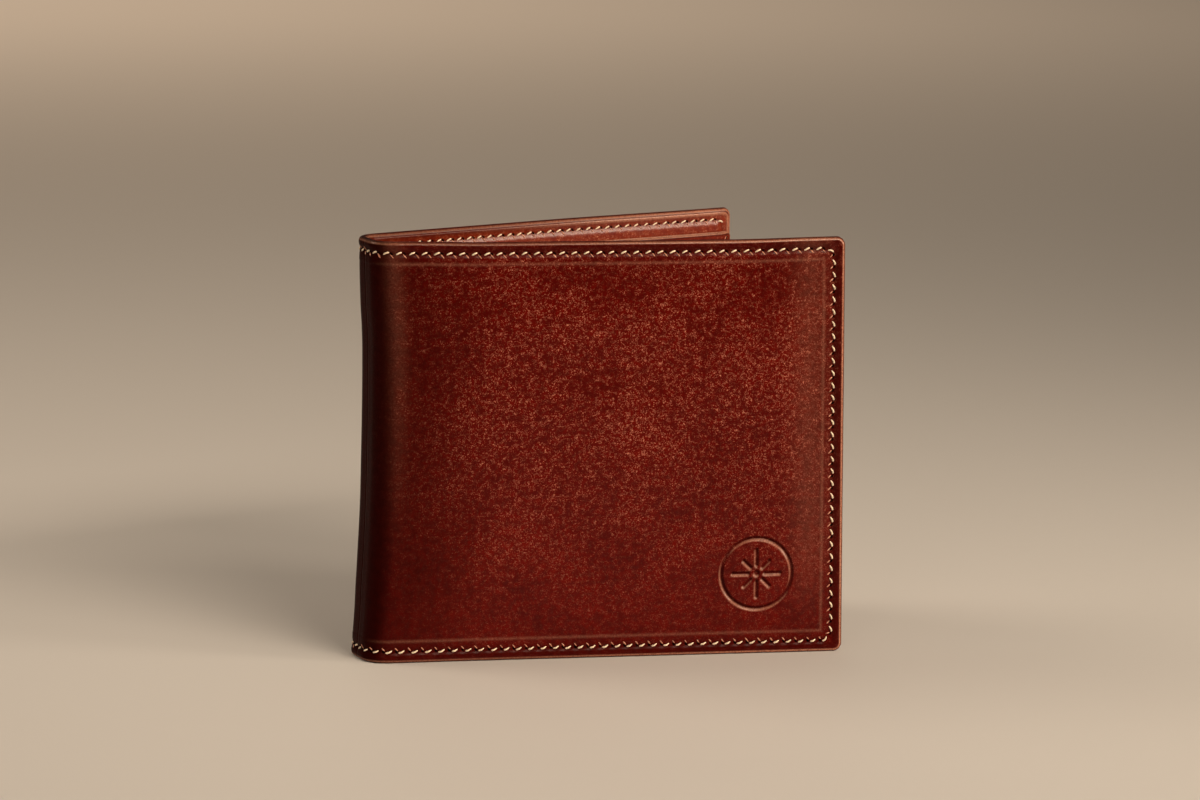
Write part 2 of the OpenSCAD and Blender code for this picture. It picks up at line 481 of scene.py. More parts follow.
@dataclass
class Sheet:
    """A sheet of leather with rounded edges, as one closed mesh.

    Attributes:
        name: The piece's name.
        outline: Its outline.
        s_lines: Grid lines along it, inside the rounded edge.
        z_lines: Grid lines up it, inside the rounded edge.
        good: Level of its good side.
        back: Level of its back.
        edge_r: How far the rounded edge reaches in.
        facing: Which way the good side looks.
        hollow: Painted shade in holes, seam valleys, creases and pressed lines, from 0 to 1.
        burnish: How much an edge is darkened by burnishing, and the fold and other places by painted shade,
            from 0 to 1.
        worn: How much ridges, edges and lips are lightened by painted highlights, and edges also by wear,
            from 0 to 1.
    """

    name: str
    outline: Outline
    s_lines: Grid
    z_lines: Grid
    good: Level
    back: Level
    edge_r: float
    facing: Facing
    hollow: Level
    burnish: Level
    worn: Level

    def build(self, fold: Fold, side: Side) -> bpy.types.Object:
        """Makes the sheet's mesh.

        Args:
            fold: The line that it follows.
            side: The half of the wallet.

        Returns:
            The new object.
        """
        ns, nz = len(self.s_lines), len(self.z_lines)
        s, z = (a.ravel() for a in np.meshgrid(self.s_lines, self.z_lines, indexing="ij"))
        ring = self._perimeter(ns, nz)
        closed = not self.outline.crosses
        level = [self.good(*self.outline.rounded(s, z))]
        sz, uv = [self.outline.rounded(s, z)], [self.outline.rounded(s, z)]
        low, high = level[0][ring], self.back(*self.outline.rounded(s[ring], z[ring]))
        half_depth = float(np.mean(np.abs(high - low))) / 2
        for k in range(1, EDGE_STEPS):
            turn = math.pi * k / EDGE_STEPS
            inset = self.edge_r * (1 - math.sin(turn))
            run = turn * (self.edge_r + half_depth) / 2
            sz.append(self._ring_places(s, z, ring, inset))
            uv.append(self._ring_places(s, z, ring, self.edge_r - run))
            level.append(low + (high - low) * (1 - math.cos(turn)) / 2)
        cs, cz = self.s_lines[::COARSE], self.z_lines[::COARSE]
        bs, bz = self.outline.rounded(*(a.ravel() for a in np.meshgrid(cs, cz, indexing="ij")))
        sz.append((bs, bz))
        uv.append((bs, bz))
        level.append(self.back(bs, bz))
        faces = self._faces(ns, nz, len(cs), len(cz), ring, closed)
        all_s, all_z = (np.concatenate([p[i] for p in sz]) for i in (0, 1))
        uv_s, uv_z = (np.concatenate([p[i] for p in uv]) for i in (0, 1))
        points = fold.place(all_s, np.concatenate(level), all_z, side)
        flip = (self.facing is Facing.INWARDS) != (side is Side.REAR)
        marks = self._marks(all_s, all_z, len(s), len(bs))
        grain = np.column_stack([uv_s * side.sign, uv_z]) * MM
        return add_mesh(self.name, points, faces, grain, flip, marks)

    def _perimeter(self, ns: int, nz: int) -> Grid:
        """The grid's border, as indices: along the top, down the free edge, back, and up at the fold.

        Args:
            ns: Number of lines along the sheet.
            nz: Number of lines up it.

        Returns:
            Indices of the grid's points.
        """
        index = np.arange(ns * nz).reshape(ns, nz)
        parts = [index[:, -1], index[-1, -2::-1], index[-2::-1, 0]]
        if not self.outline.crosses:
            parts.append(index[0, 1:-1])
        return np.concatenate(parts)

    def _ring_places(self, s: Grid, z: Grid, ring: Grid, inset: float) -> tuple[Grid, Grid]:
        """The border's places moved out to a smaller inset from the outline.

        Args:
            s: The grid's ways along the leather.
            z: The grid's heights.
            ring: The border's indices.
            inset: The inset that they move to.

        Returns:
            The moved places.
        """
        o, r = self.outline, self.edge_r
        rs, rz = s[ring].copy(), z[ring].copy()
        rs[np.isclose(rs, o.s1 - r)] = o.s1 - inset
        rz[np.isclose(rz, o.z1 - r)] = o.z1 - inset
        rz[np.isclose(rz, o.z0 + r)] = o.z0 + inset
        if not o.crosses:
            rs[np.isclose(rs, o.s0 + r)] = o.s0 + inset
        return o.rounded(rs, rz)

    @staticmethod
    def _faces(ns: int, nz: int, cs: int, cz: int, ring: Grid, closed: bool) -> list:
        """Joins the good side, the rounded edge and the coarser back into faces.

        Args:
            ns: Number of lines along the good side.
            nz: Number of lines up it.
            cs: Number of lines along the back.
            cz: Number of lines up it.
            ring: The good side's border.
            closed: Whether the border is a closed loop.

        Returns:
            The faces.
        """
        grid = np.arange(ns * nz).reshape(ns, nz)
        near, far = grid[:-1], grid[1:]
        quads = [np.stack([near[:, :-1], far[:, :-1], far[:, 1:], near[:, 1:]], -1).reshape(-1, 4)]
        m = len(ring)
        loops = [ring] + [ns * nz + k * m + np.arange(m) for k in range(EDGE_STEPS - 1)]
        for a, b in zip(loops, loops[1:]):
            a2, b2 = (np.append(a, a[0]), np.append(b, b[0])) if closed else (a, b)
            quads.append(np.stack([a2[:-1], a2[1:], b2[1:], b2[:-1]], -1))
        start = ns * nz + (EDGE_STEPS - 1) * m
        back = start + np.arange(cs * cz).reshape(cs, cz)
        near, far = back[:-1], back[1:]
        quads.append(np.stack([near[:, :-1], near[:, 1:], far[:, 1:], far[:, :-1]], -1).reshape(-1, 4))
        faces = np.concatenate(quads).tolist()
        at_fold = [back[0, 1:-1]] if closed else []
        edge = np.concatenate([back[:, -1], back[-1, -2::-1], back[-2::-1, 0]] + at_fold)
        last = loops[-1]
        for k in range(len(edge) - (0 if closed else 1)):
            fine = [int(last[(k * COARSE + i) % m]) for i in range(COARSE + 1)]
            faces.append(fine + [int(edge[(k + 1) % len(edge)]), int(edge[k])])
        if closed:
            return faces
        rim = [loop[0] for loop in loops[1:]] + back[0, ::-1].tolist() + [loop[-1] for loop in loops[:0:-1]]
        faces.append([int(i) for i in rim + grid[0].tolist()])
        return faces

    def _marks(self, s: Grid, z: Grid, good: int, back: int) -> dict[str, Grid]:
        """Each point's painted shade in recesses, its burnishing and painted shade, and its painted
        highlights and wear.

        Args:
            s: Ways along the leather.
            z: Heights.
            good: Number of points on the good side, which come first.
            back: Number of points on the back, which come last.

        Returns:
            The numbers by name.
        """
        hollow, burnish = np.zeros(len(s)), self.burnish(s, z)
        hollow[:good] = self.hollow(s[:good], z[:good])
        edge = slice(good, len(s) - back)
        edge_burnish = 0.6
        burnish[edge] = np.maximum(burnish[edge], edge_burnish)
        return {"hollow": hollow, "burnish": burnish, "worn": self.worn(s, z)}


@dataclass(frozen=True)
class Ripple:
    """The slow unevenness of leather, the same on both sides of the spine's middle.

    Attributes:
        seed: Number that fixes its shape.
        short: Its shortest wave, in millimetres.
        long: Its longest wave.
        waves: How many waves are summed.
    """

    seed: int
    short: float = 14.0
    long: float = 60.0
    waves: int = 16

    def __call__(self, s: Grid, z: Grid) -> Grid:
        """Its height, about from -1 to 1.

        Args:
            s: Ways along the leather.
            z: Heights.

        Returns:
            The heights.
        """
        rng = np.random.default_rng(self.seed)
        total = np.zeros(np.shape(s))
        for _ in range(self.waves):
            length = math.exp(rng.uniform(math.log(self.short), math.log(self.long)))
            angle, phase = rng.uniform(0, math.pi, 2)
            k = 2 * math.pi / length
            total = total + np.cos(k * math.cos(angle) * s) * np.cos(k * math.sin(angle) * z + 2 * phase)
        return total / math.sqrt(self.waves)


# ---------------------------------------------------------------------------------------------------
# Seams
# ---------------------------------------------------------------------------------------------------


@dataclass(frozen=True)
class Seam:
    """A seam that comes from the fold along the top, goes down the free edge and back along the bottom.

    Attributes:
        s0: Where its two ends lie.
        s1: Its line beside the free edge.
        z0: Its line above the lower edge.
        z1: Its line below the upper edge.
        radius: Radius of its corners.
        slant: 1 where the stitches climb along the way, seen from the good side, and -1 where they fall.
        wanted_pitch: Wished length of a stitch.
    """

    s0: float
    s1: float
    z0: float
    z1: float
    radius: float
    slant: int = 1
    wanted_pitch: float = 2.8

    @property
    def row(self) -> float:
        """Length of the straight row along the top, or along the bottom."""
        return self.s1 - self.radius - self.s0

    @property
    def corner(self) -> float:
        """Length of a corner's arc."""
        return self.radius * math.pi / 2

    @property
    def column(self) -> float:
        """Length of the straight stretch down the free edge."""
        return self.z1 - self.z0 - 2 * self.radius

    @property
    def count(self) -> int:
        """Number of stitches."""
        return round((2 * self.row + 2 * self.corner + self.column) / self.wanted_pitch)

    @property
    def pitch(self) -> float:
        """Length of a stitch, so that a whole number of them fills the seam."""
        return (2 * self.row + 2 * self.corner + self.column) / self.count

    def along(self, t: Grid) -> tuple[Grid, Grid, Grid, Grid]:
        """Places and directions on the seam.

        Args:
            t: Ways along the seam.

        Returns:
            s, z, and the direction's s and z.
        """
        r, ends = self.radius, np.cumsum([self.row, self.corner, self.column, self.corner])
        first = (t - ends[0]) / r
        second = (t - ends[2]) / r
        zones = [t < ends[0], t < ends[1], t < ends[2], t < ends[3]]
        s = np.select(zones, [self.s0 + t, self.s1 - r + r * np.sin(first), self.s1 + 0 * t,
                              self.s1 - r + r * np.cos(second)], self.s1 - r - (t - ends[3]))
        z = np.select(zones, [self.z1 + 0 * t, self.z1 - r + r * np.cos(first), self.z1 - r - (t - ends[1]),
                              self.z0 + r - r * np.sin(second)], self.z0 + 0 * t)
        ds = np.select(zones, [1 + 0 * t, np.cos(first), 0 * t, -np.sin(second)], -1.0)
        dz = np.select(zones, [0 * t, -np.sin(first), -1 + 0 * t, -np.cos(second)], 0.0)
        return s, z, ds, dz

    def locate(self, s: Grid, z: Grid) -> tuple[Grid, Grid]:
        """Finds places near the seam by their way along it and their distance across it.

        Args:
            s: Ways along the leather.
            z: Heights.

        Returns:
            Ways along the seam, and distances towards the sheet's edge.
        """
        r, ends = self.radius, np.cumsum([self.row, self.corner, self.column, self.corner])
        ps, top, low = s - (self.s1 - r), z - (self.z1 - r), z - (self.z0 + r)
        zones = [(ps > 0) & (top > 0), (ps > 0) & (low < 0), ps > 0, z > (self.z0 + self.z1) / 2]
        t = np.select(zones, [ends[0] + r * np.arctan2(ps, top), ends[2] + r * np.arctan2(-low, ps),
                              ends[0] + self.corner - top, s - self.s0], ends[3] - ps)
        across = [np.hypot(ps, top) - r, np.hypot(ps, low) - r, s - self.s1, z - self.z1]
        return t, np.select(zones, across, self.z0 - z)


@dataclass(frozen=True)
class UprightSeam:
    """A straight seam that runs down beside the fold.

    Attributes:
        s: Its place along the leather.
        z0: Its lower end.
        z1: Its upper end.
        slant: As for Seam.
        wanted_pitch: Wished length of a stitch.
    """

    s: float
    z0: float
    z1: float
    slant: int = 1
    wanted_pitch: float = 2.8

    @property
    def count(self) -> int:
        """Number of stitches."""
        return round((self.z1 - self.z0) / self.wanted_pitch)

    @property
    def pitch(self) -> float:
        """Length of a stitch."""
        return (self.z1 - self.z0) / self.count

    def along(self, t: Grid) -> tuple[Grid, Grid, Grid, Grid]:
        """Places and directions on the seam.

        Args:
            t: Ways along the seam.

        Returns:
            s, z, and the direction's s and z.
        """
        return self.s + 0 * t, self.z1 - t, 0 * t, -1 + 0 * t

    def locate(self, s: Grid, z: Grid) -> tuple[Grid, Grid]:
        """Finds places by their way along the seam and their distance across it.

        Args:
            s: Ways along the leather.
            z: Heights.

        Returns:
            Ways along the seam, and distances across it; far off past its ends.
        """
        past = np.maximum(np.maximum(z - self.z1, self.z0 - z), 0)
        return self.z1 - z, s - self.s + 3 * past


@dataclass(frozen=True)
class SeamRelief:
    """How a seam shapes the leather: a valley that dips at each needle hole.

    Attributes:
        seam: The seam.
        valley: Depth of the valley.
        valley_w: Its half width.
        dip: How much deeper it is at a needle hole.
        dip_w: Half width of the dips.
    """

    seam: Seam | UprightSeam
    valley: float = 0.22
    valley_w: float = 0.8
    dip: float = 0.10
    dip_w: float = 0.75

    def __call__(self, s: Grid, z: Grid) -> Grid:
        """The seam's own height, at most 0.

        Args:
            s: Ways along the leather.
            z: Heights.

        Returns:
            The heights.
        """
        t, c = self.seam.locate(s, z)
        wave = 0.5 + 0.5 * np.cos(2 * math.pi * t / self.seam.pitch)
        return -self.valley * hump(c, self.valley_w) - self.dip * wave * hump(c, self.dip_w)


@dataclass
class Stitching:
    """What a seam shows on one side: its thread, and the leather's needle holes with their raised lips.

    Attributes:
        seam: The seam.
        level: Level of the leather.
        facing: Which way that leather's good side looks.
        keep: Says which stitches there are, from the middle of each.
        radius: The thread's radius.
        sway: How far a strand's ends lie to either side of the seam.
        lift: How far its middle stands above the leather.
        sink: How far its ends go under.
        shown: Where, along a stitch, the strand comes out and goes in.
        hole: Half length and half width of a needle hole.
        lip: Half length, half width and height of the lip beside it.
        lip_at: Where the lip lies from the hole, along the seam and towards the edge.
        hole_rise: How far a hole's rim stands above the leather.
        hole_at: Where the hole lies, along the seam and towards the edge.
        slit_turn: Angle of holes and lips from the seam.
        uneven: How much holes and lips differ in size.
        wobble: How much strands differ in length and height.
        stray: How much they differ in their place across the seam.
        lay: Length of strand over which the plies turn once.
        groove: Depth of the groove between the plies, as a share of the radius.
        steps: Number of steps along a strand.
        sides: Number of points around it.
    """

    seam: Seam | UprightSeam
    level: Level
    facing: Facing
    keep: Callable[[Grid, Grid], Grid] | None = None
    radius: float = 0.205
    sway: float = 0.27
    lift: float = 0.10
    sink: float = 0.30
    shown: tuple[float, float] = (0.34, 0.86)
    hole: tuple[float, float] = (0.40, 0.25)
    lip: tuple[float, float, float] = (0.52, 0.15, 0.17)
    lip_at: tuple[float, float] = (0.08, -0.52)
    hole_rise: float = 0.045
    hole_at: tuple[float, float] = (0.02, 0.05)
    slit_turn: float = math.radians(50)
    uneven: float = 0.10
    wobble: float = 0.015
    stray: float = 0.02
    lay: float = 1.1
    groove: float = 0.13
    steps: int = 14
    sides: int = 10

    def _starts(self) -> Grid:
        """The ways along the seam at which its stitches start."""
        starts = np.arange(self.seam.count) * self.seam.pitch
        if self.keep is not None:
            starts = starts[self.keep(*self.seam.along(starts + self.seam.pitch / 2)[:2])]
        return starts

    def _flip(self, side: Side) -> bool:
        """Whether faces turn over on this half of the wallet."""
        return (self.facing is Facing.INWARDS) == (side is Side.REAR)

    def _place(self, fold: Fold, side: Side, t: Grid, across: Grid, up: Grid) -> tuple[Grid, Grid]:
        """Puts points given along, across and above the seam into the row frame.

        Args:
            fold: The line that the leather follows.
            side: The half of the wallet.
            t: Ways along the seam.
            across: Distances towards the sheet's edge.
            up: Heights above the leather.

        Returns:
            The points, and their coordinates on the leather, both in metres.
        """
        s, z, ds, dz = self.seam.along(t)
        s, z = s - dz * across, z + ds * across
        v = self.level(s, z) + self.facing.value * up
        grain = np.column_stack([side.sign * s.ravel(), z.ravel()]) * MM
        return fold.place(s, v, z, side), grain

    def build_thread(self, name: str, fold: Fold, side: Side) -> bpy.types.Object:
        """Makes the twisted strands between the needle holes.

        Args:
            name: The piece's name.
            fold: The line that the leather follows.
            side: The half of the wallet.

        Returns:
            The new object.
        """
        starts = self._starts()[:, None]
        rng = np.random.default_rng(len(name))
        jitter = rng.normal(0, 1, (len(starts), 4))
        part = np.linspace(0.0, 1.0, self.steps + 1)[None, :]
        low = self.shown[0] + self.wobble * jitter[:, :1]
        high = self.shown[1] + self.wobble * jitter[:, 1:2]
        t = starts + self.seam.pitch * (low + (high - low) * part)
        climb = np.sin(0.5 * math.pi * np.clip(part * 1.12, 0, 1))
        across = self.seam.slant * self.sway * (2 * climb - 1) + self.stray * jitter[:, 2:3]
        arch = np.sin(math.pi * part) ** 0.6
        height = -self.sink + (self.sink + self.lift + self.wobble * jitter[:, 3:]) * arch
        thick = self.radius * (0.62 + 0.38 * np.sin(math.pi * np.clip(part * 0.8 + 0.12, 0, 1)))
        around = np.linspace(0, 2 * math.pi, self.sides, endpoint=False)[None, None, :]
        turned = around - 2 * math.pi * (t - t[:, :1])[:, :, None] / self.lay
        r = thick[:, :, None] * (1 + self.groove * np.cos(2 * turned))
        shape = r.shape
        points, _ = self._place(
            fold, side, np.broadcast_to(t[:, :, None], shape).copy(),
            across[:, :, None] + r * np.cos(around), height[:, :, None] + r * np.sin(around),
        )
        uv = np.column_stack([
            np.broadcast_to(t[:, :, None], shape).ravel(),
            np.broadcast_to(turned, shape).ravel() / math.pi,
        ])
        index = np.arange(r.size).reshape(shape)
        nxt = np.roll(index, -1, axis=2)
        quads = np.stack([index[:, :-1], index[:, 1:], nxt[:, 1:], nxt[:, :-1]], -1).reshape(-1, 4).tolist()
        caps = index[:, 0].tolist() + index[:, -1, ::-1].tolist()
        return add_mesh(name, points, quads + caps, uv * MM, self._flip(side), {})

    def build_holes(self, name: str, fold: Fold, side: Side) -> bpy.types.Object:
        """Makes the needle holes and the raised lips beside them, as small cushions set into the leather: the
        holes painted near black as painted shade, the lips painted pale as painted highlights.

        Args:
            name: The piece's name.
            fold: The line that the leather follows.
            side: The half of the wallet.

        Returns:
            The new object.
        """
        starts = self._starts()
        rng = np.random.default_rng(len(name) + 1)
        cos, sin = math.cos(self.slit_turn), -self.seam.slant * math.sin(self.slit_turn)
        rings, sides = 5, 14
        turn = np.linspace(0, 2 * math.pi, sides, endpoint=False)
        lift = np.linspace(-0.3, 1.0, rings) * math.pi / 2
        parts = []
        for long, wide, tall, (at_t, at_c), dark in (
            (*self.hole, self.hole_rise, self.hole_at, 1.0),
            (*self.lip, self.lip_at, 0.0),
        ):
            scale = 1 + self.uneven * rng.normal(0, 1, (len(starts), 3))
            a = long * scale[:, :1, None] * (np.cos(lift)[None, :, None] * np.cos(turn)[None, None, :])
            b = wide * scale[:, 1:2, None] * (np.cos(lift)[None, :, None] * np.sin(turn)[None, None, :])
            up = tall * scale[:, 2:, None] * np.sin(lift)[None, :, None] + 0 * a
            t = starts[:, None, None] + at_t + a * cos - b * sin
            c = at_c * self.seam.slant + a * sin + b * cos
            parts.append((t, c, up, np.full(t.shape, dark)))
        t, c, up, dark = (np.concatenate([p[i] for p in parts]) for i in range(4))
        points, grain = self._place(fold, side, t, c, up)
        index = np.arange(t.size).reshape(t.shape)
        nxt = np.roll(index, -1, axis=2)
        quads = np.stack([index[:, :-1], nxt[:, :-1], nxt[:, 1:], index[:, 1:]], -1).reshape(-1, 4).tolist()
        caps = index[:, 0, ::-1].tolist()
        dark = dark.ravel()
        # Painted shade on the holes, and a painted highlight on the lips.
        marks = {"hollow": dark, "burnish": 0.3 * dark, "worn": 1 - dark}
        return add_mesh(name, points, quads + caps, grain, self._flip(side), marks)


# ---------------------------------------------------------------------------------------------------
# Materials
# ---------------------------------------------------------------------------------------------------


class Value:
    """A number that varies over a surface. Arithmetic on it adds Math nodes."""

    def __init__(self, nodes: "Nodes", socket: bpy.types.NodeSocket) -> None:
        """Wraps an output socket of a node tree."""
        self.nodes = nodes
        self.socket = socket

    def _math(self, operation: str, *others: "Value | float", swap: bool = False) -> "Value":
        """Adds one Math node.

        Args:
            operation: The node's operation.
            others: The other inputs.
            swap: Whether this value comes second.

        Returns:
            The node's result.
        """
        inputs = (others[0], self) if swap else (self, *others)
        return self.nodes.add("ShaderNodeMath", {"operation": operation}, dict(enumerate(inputs)))

    def __add__(self, other: "Value | float") -> "Value":
        """Sum."""
        return self._math("ADD", other)

    __radd__ = __add__

    def __sub__(self, other: "Value | float") -> "Value":
        """Difference."""
        return self._math("SUBTRACT", other)

    def __rsub__(self, other: float) -> "Value":
        """Difference from a number."""
        return self._math("SUBTRACT", other, swap=True)

    def __mul__(self, other: "Value | float") -> "Value":
        """Product."""
        return self._math("MULTIPLY", other)

    __rmul__ = __mul__

    def __abs__(self) -> "Value":
        """Absolute value."""
        return self._math("ABSOLUTE")

    def rise(self, low: float, high: float) -> "Value":
        """Rises smoothly from 0 at low to 1 at high, or falls where low is above high."""
        if low > high:
            return 1 - self.rise(high, low)
        inputs = {"Value": self, "From Min": low, "From Max": high}
        return self.nodes.add("ShaderNodeMapRange", {"interpolation_type": "SMOOTHSTEP"}, inputs)


Colour = tuple[float, float, float]


class Nodes:
    """One material's node tree and the few ways in which it grows."""

    def __init__(self, name: str) -> None:
        """Makes a material with a Principled shader and nothing else."""
        self.material = bpy.data.materials.new(name)
        self.material.use_nodes = True
        self.tree = self.material.node_tree
        self.tree.nodes.clear()
        self.shader = self.tree.nodes.new("ShaderNodeBsdfPrincipled")
        output = self.tree.nodes.new("ShaderNodeOutputMaterial")
        self.tree.links.new(self.shader.outputs["BSDF"], output.inputs["Surface"])

    def add(self, kind: str, settings: Mapping, inputs: Mapping, output: str | int = 0) -> Value:
        """Adds any node.

        Args:
            kind: The node's type.
            settings: Its settings, set first.
            inputs: Values or links of its sockets, by name or number.
            output: The output wanted.

        Returns:
            That output.
        """
        node = self.tree.nodes.new(kind)
        for key, value in settings.items():
            setattr(node, key, value)
        for key, value in inputs.items():
            self.feed(node.inputs[key], value)
        return Value(self, node.outputs[output])

    def feed(self, socket: bpy.types.NodeSocket, value: "Value | float | Colour") -> None:
        """Links a socket or sets its value.

        Args:
            socket: The input.
            value: A link's source, a number or a colour.
        """
        if isinstance(value, Value):
            self.tree.links.new(value.socket, socket)
        elif isinstance(value, tuple) and len(value) == 3 and socket.type == "RGBA":
            socket.default_value = (*value, 1.0)
        else:
            socket.default_value = value

    def in_mm(self, at: Value) -> Value:
        """Coordinates in metres, turned into millimetres."""
        return self.add("ShaderNodeVectorMath", {"operation": "SCALE"}, {0: at, "Scale": 1 / MM})

    def grain(self) -> Value:
        """The leather's own coordinates, in millimetres."""
        return self.in_mm(self.add("ShaderNodeUVMap", {"uv_map": "Grain"}, {}))

    def attribute(self, name: str) -> Value:
        """A number stored on the mesh."""
        return self.add("ShaderNodeAttribute", {"attribute_name": name}, {}, "Fac")

    def noise(
        self, at: Value, size: float, detail: float = 2.0, rough: float = 0.5, warp: float = 0.0
    ) -> Value:
        """Smooth noise with features of about the given size.

        Args:
            at: Coordinates in millimetres.
            size: Feature size in millimetres.
            detail: Number of finer layers.
            rough: Strength of the finer layers.
            warp: Distortion.

        Returns:
            Values around 0.5.
        """
        inputs = {"Vector": at, "Scale": 1 / size, "Detail": detail, "Roughness": rough, "Distortion": warp}
        return self.add("ShaderNodeTexNoise", {"noise_dimensions": "3D"}, inputs)

    def mix(self, share: "Value | float", a: "Value | Colour", b: "Value | Colour") -> Value:
        """Mixes two colours.

        Args:
            share: Share of the second one.
            a: The first colour.
            b: The second colour.

        Returns:
            The mixed colour.
        """
        settings = {"data_type": "RGBA", "blend_type": "MIX", "clamp_factor": True}
        return self.add("ShaderNodeMix", settings, {0: share, 6: a, 7: b}, 2)

    def shade(self, **sockets: "Value | float | Colour") -> None:
        """Sets the shader's sockets, named with underscores for spaces."""
        for key, value in sockets.items():
            self.feed(self.shader.inputs[key.replace("_", " ")], value)

    def bump(self, height: Value, depth: float, strength: float) -> Value:
        """Turns a height into a normal.

        Args:
            height: The height, about from 0 to 1.
            depth: What 1 stands for, in millimetres.
            strength: Strength of the effect.

        Returns:
            The normal.
        """
        inputs = {"Height": height, "Distance": depth * MM, "Strength": strength}
        return self.add("ShaderNodeBump", {}, inputs)


@dataclass(frozen=True)
class GlazedLeather:
    """Hand-stained calf leather, glazed so that pale veins of grain show through a red-brown dye.

    Attributes:
        name: The material's name.
        deep: Dye colour where it is thick.
        warm: Dye colour where it is thin.
        vein_and_glint: Colour of the pale grain, made lighter to stand also for painted glints on its raised
            flecks.
        burnt_and_shaded: Colour of burnished edges, and of the painted shade along the fold.
        rub_and_highlight: Colour of painted highlights on edges, ridges and lips, and of wear on edges.
        veins: How strongly the veins show.
        rough: Roughness of the glaze.
        coat: Weight of the glaze's clear coat.
        coat_rough: Its roughness.
        cloud_size: Size of the dye's wide clouds.
        patch_size: Size of the patches in which the grain shows.
        vein_size: Size of the winding veins.
        fleck_size: Size of the flecks between them.
        pore_size: Size of the pores.
        crease_size: Size of the fine creases.
        grain_sheen_from: Heights between which the pale grain comes in, from the foot up: a painted sheen
            that makes the upper part lighter.
    """

    name: str
    deep: Colour
    warm: Colour
    vein_and_glint: Colour
    burnt_and_shaded: Colour
    rub_and_highlight: Colour = (0.62, 0.27, 0.165)
    veins: float = 0.9
    rough: float = 0.38
    coat: float = 0.22
    coat_rough: float = 0.2
    cloud_size: float = 15.0
    patch_size: float = 1.7
    vein_size: float = 0.52
    fleck_size: float = 0.34
    pore_size: float = 0.22
    crease_size: float = 4.5
    grain_sheen_from: tuple[float, float] = (4.0, 58.0)

    def build(self) -> bpy.types.Material:
        """Makes the material."""
        n = Nodes(self.name)
        at = n.grain()
        cloud = n.noise(at, self.cloud_size, 3.0)
        patch = n.noise(at, self.patch_size)
        up = n.add("ShaderNodeSeparateXYZ", {}, {"Vector": at}, "Y")
        warped = n.noise(at, self.vein_size, 1.0, warp=1.0)
        broken = n.noise(at, 0.9, 1.0).rise(0.45, 0.58)
        worms = (1 - abs(warped * 2 - 1).rise(0.0, 0.085)) * broken
        fine = n.noise(at, self.fleck_size, 1.0, warp=0.9)
        flecks = fine.rise(0.62, 0.68)
        # Pale grain denser higher up: painted sheen on the upper part.
        density = (cloud * 0.45 + patch * 0.65).rise(0.38, 0.76) * (0.15 + 0.85 * up.rise(*self.grain_sheen_from))
        pale = (worms * 0.85 + flecks * 0.8) * (0.06 + density * 0.94)
        burnish = n.attribute("burnish")
        hollow = n.attribute("hollow")
        base = n.mix(cloud.rise(0.30, 0.72) * 0.4 + patch.rise(0.3, 0.7) * 0.5, self.deep, self.warm)
        # Pale veins and flecks: partly the grain's own colour, partly painted glints.
        grained = n.mix(pale * self.veins * (1 - burnish * 0.8), base, self.vein_and_glint)
        # Burnished edges, and painted shade along the fold and in other places.
        burnt_and_shaded = n.mix(burnish * (0.8 + 0.2 * cloud), grained, self.burnt_and_shaded)
        worn = n.attribute("worn")
        # Painted highlights, broken by noise, which on the edges also stand for wear.
        rub_and_highlight = worn * (0.5 + 0.5 * fine.rise(0.35, 0.6))
        # Painted shade, near black, in holes, seam valleys, creases and pressed lines.
        colour = n.mix(hollow, n.mix(rub_and_highlight, burnt_and_shaded, self.rub_and_highlight), tuple(c * 0.15 for c in self.burnt_and_shaded))
        pores = n.noise(at, self.pore_size, 1.0)
        creases = 1 - abs(n.noise(at, self.crease_size, 3.0, 0.6, 0.9) * 2 - 1).rise(0.0, 0.06)
        height = pores * 0.3 + (worms * 0.5 + flecks * 0.5) * (0.5 + 0.5 * density) + creases * 0.3
        n.shade(
            Base_Color=colour,
            Roughness=self.rough + 0.12 * pale + 0.12 * (cloud - 0.5) + 0.4 * hollow,
            Normal=n.bump(height, 0.035, 0.8),
            Specular_IOR_Level=0.01,
            Specular_Tint=(1.0, 0.60, 0.40),
            Coat_Weight=(self.coat * (1 - burnish * 0.93) + worn * 0.8) * (1 - hollow),
            Coat_Roughness=self.coat_rough,
            Coat_IOR=1.45,
        )
        return n.material


@dataclass(frozen=True)
class WaxedThread:
    """Waxed cream sewing thread of two twisted plies.

    Attributes:
        name: The material's name.
        light: Colour of the clean thread.
        dark: Colour between fibres and of stains.
    """

    name: str = "waxed_thread"
    light: Colour = (0.97, 0.80, 0.58)
    dark: Colour = (0.46, 0.25, 0.12)

    def build(self) -> bpy.types.Material:
        """Makes the material."""
        n = Nodes(self.name)
        at = n.grain()
        fibre = n.noise(at, 0.12, 2.0, 0.6)
        stain = n.noise(at, 5.0)
        colour = n.mix(fibre.rise(0.35, 0.75) * 0.35 + stain.rise(0.45, 0.8) * 0.3, self.light, self.dark)
        normal = n.bump(fibre, 0.03, 0.5)
        n.shade(Base_Color=colour, Roughness=0.5 + 0.2 * fibre, Normal=normal, Sheen_Weight=0.15)
        return n.material


@dataclass(frozen=True)
class FibreBoard:
    """Bonded leather board that stiffens the leaves, out of sight.

    Attributes:
        name: The material's name.
        light: Colour of the pale fibres.
        dark: Colour of the dark fibres.
    """

    name: str = "leather_board"
    light: Colour = (0.40, 0.27, 0.16)
    dark: Colour = (0.20, 0.12, 0.07)

    def build(self) -> bpy.types.Material:
        """Makes the material."""
        n = Nodes(self.name)
        spot = n.add("ShaderNodeTexCoord", {}, {}, "Object")
        at = n.in_mm(spot)
        fibre = n.noise(at, 0.5, 4.0, 0.7, 1.2)
        colour = n.mix(fibre.rise(0.35, 0.7), self.light, self.dark)
        n.shade(Base_Color=colour, Roughness=0.85 - 0.1 * fibre, Normal=n.bump(fibre, 0.05, 0.6))
        return n.material


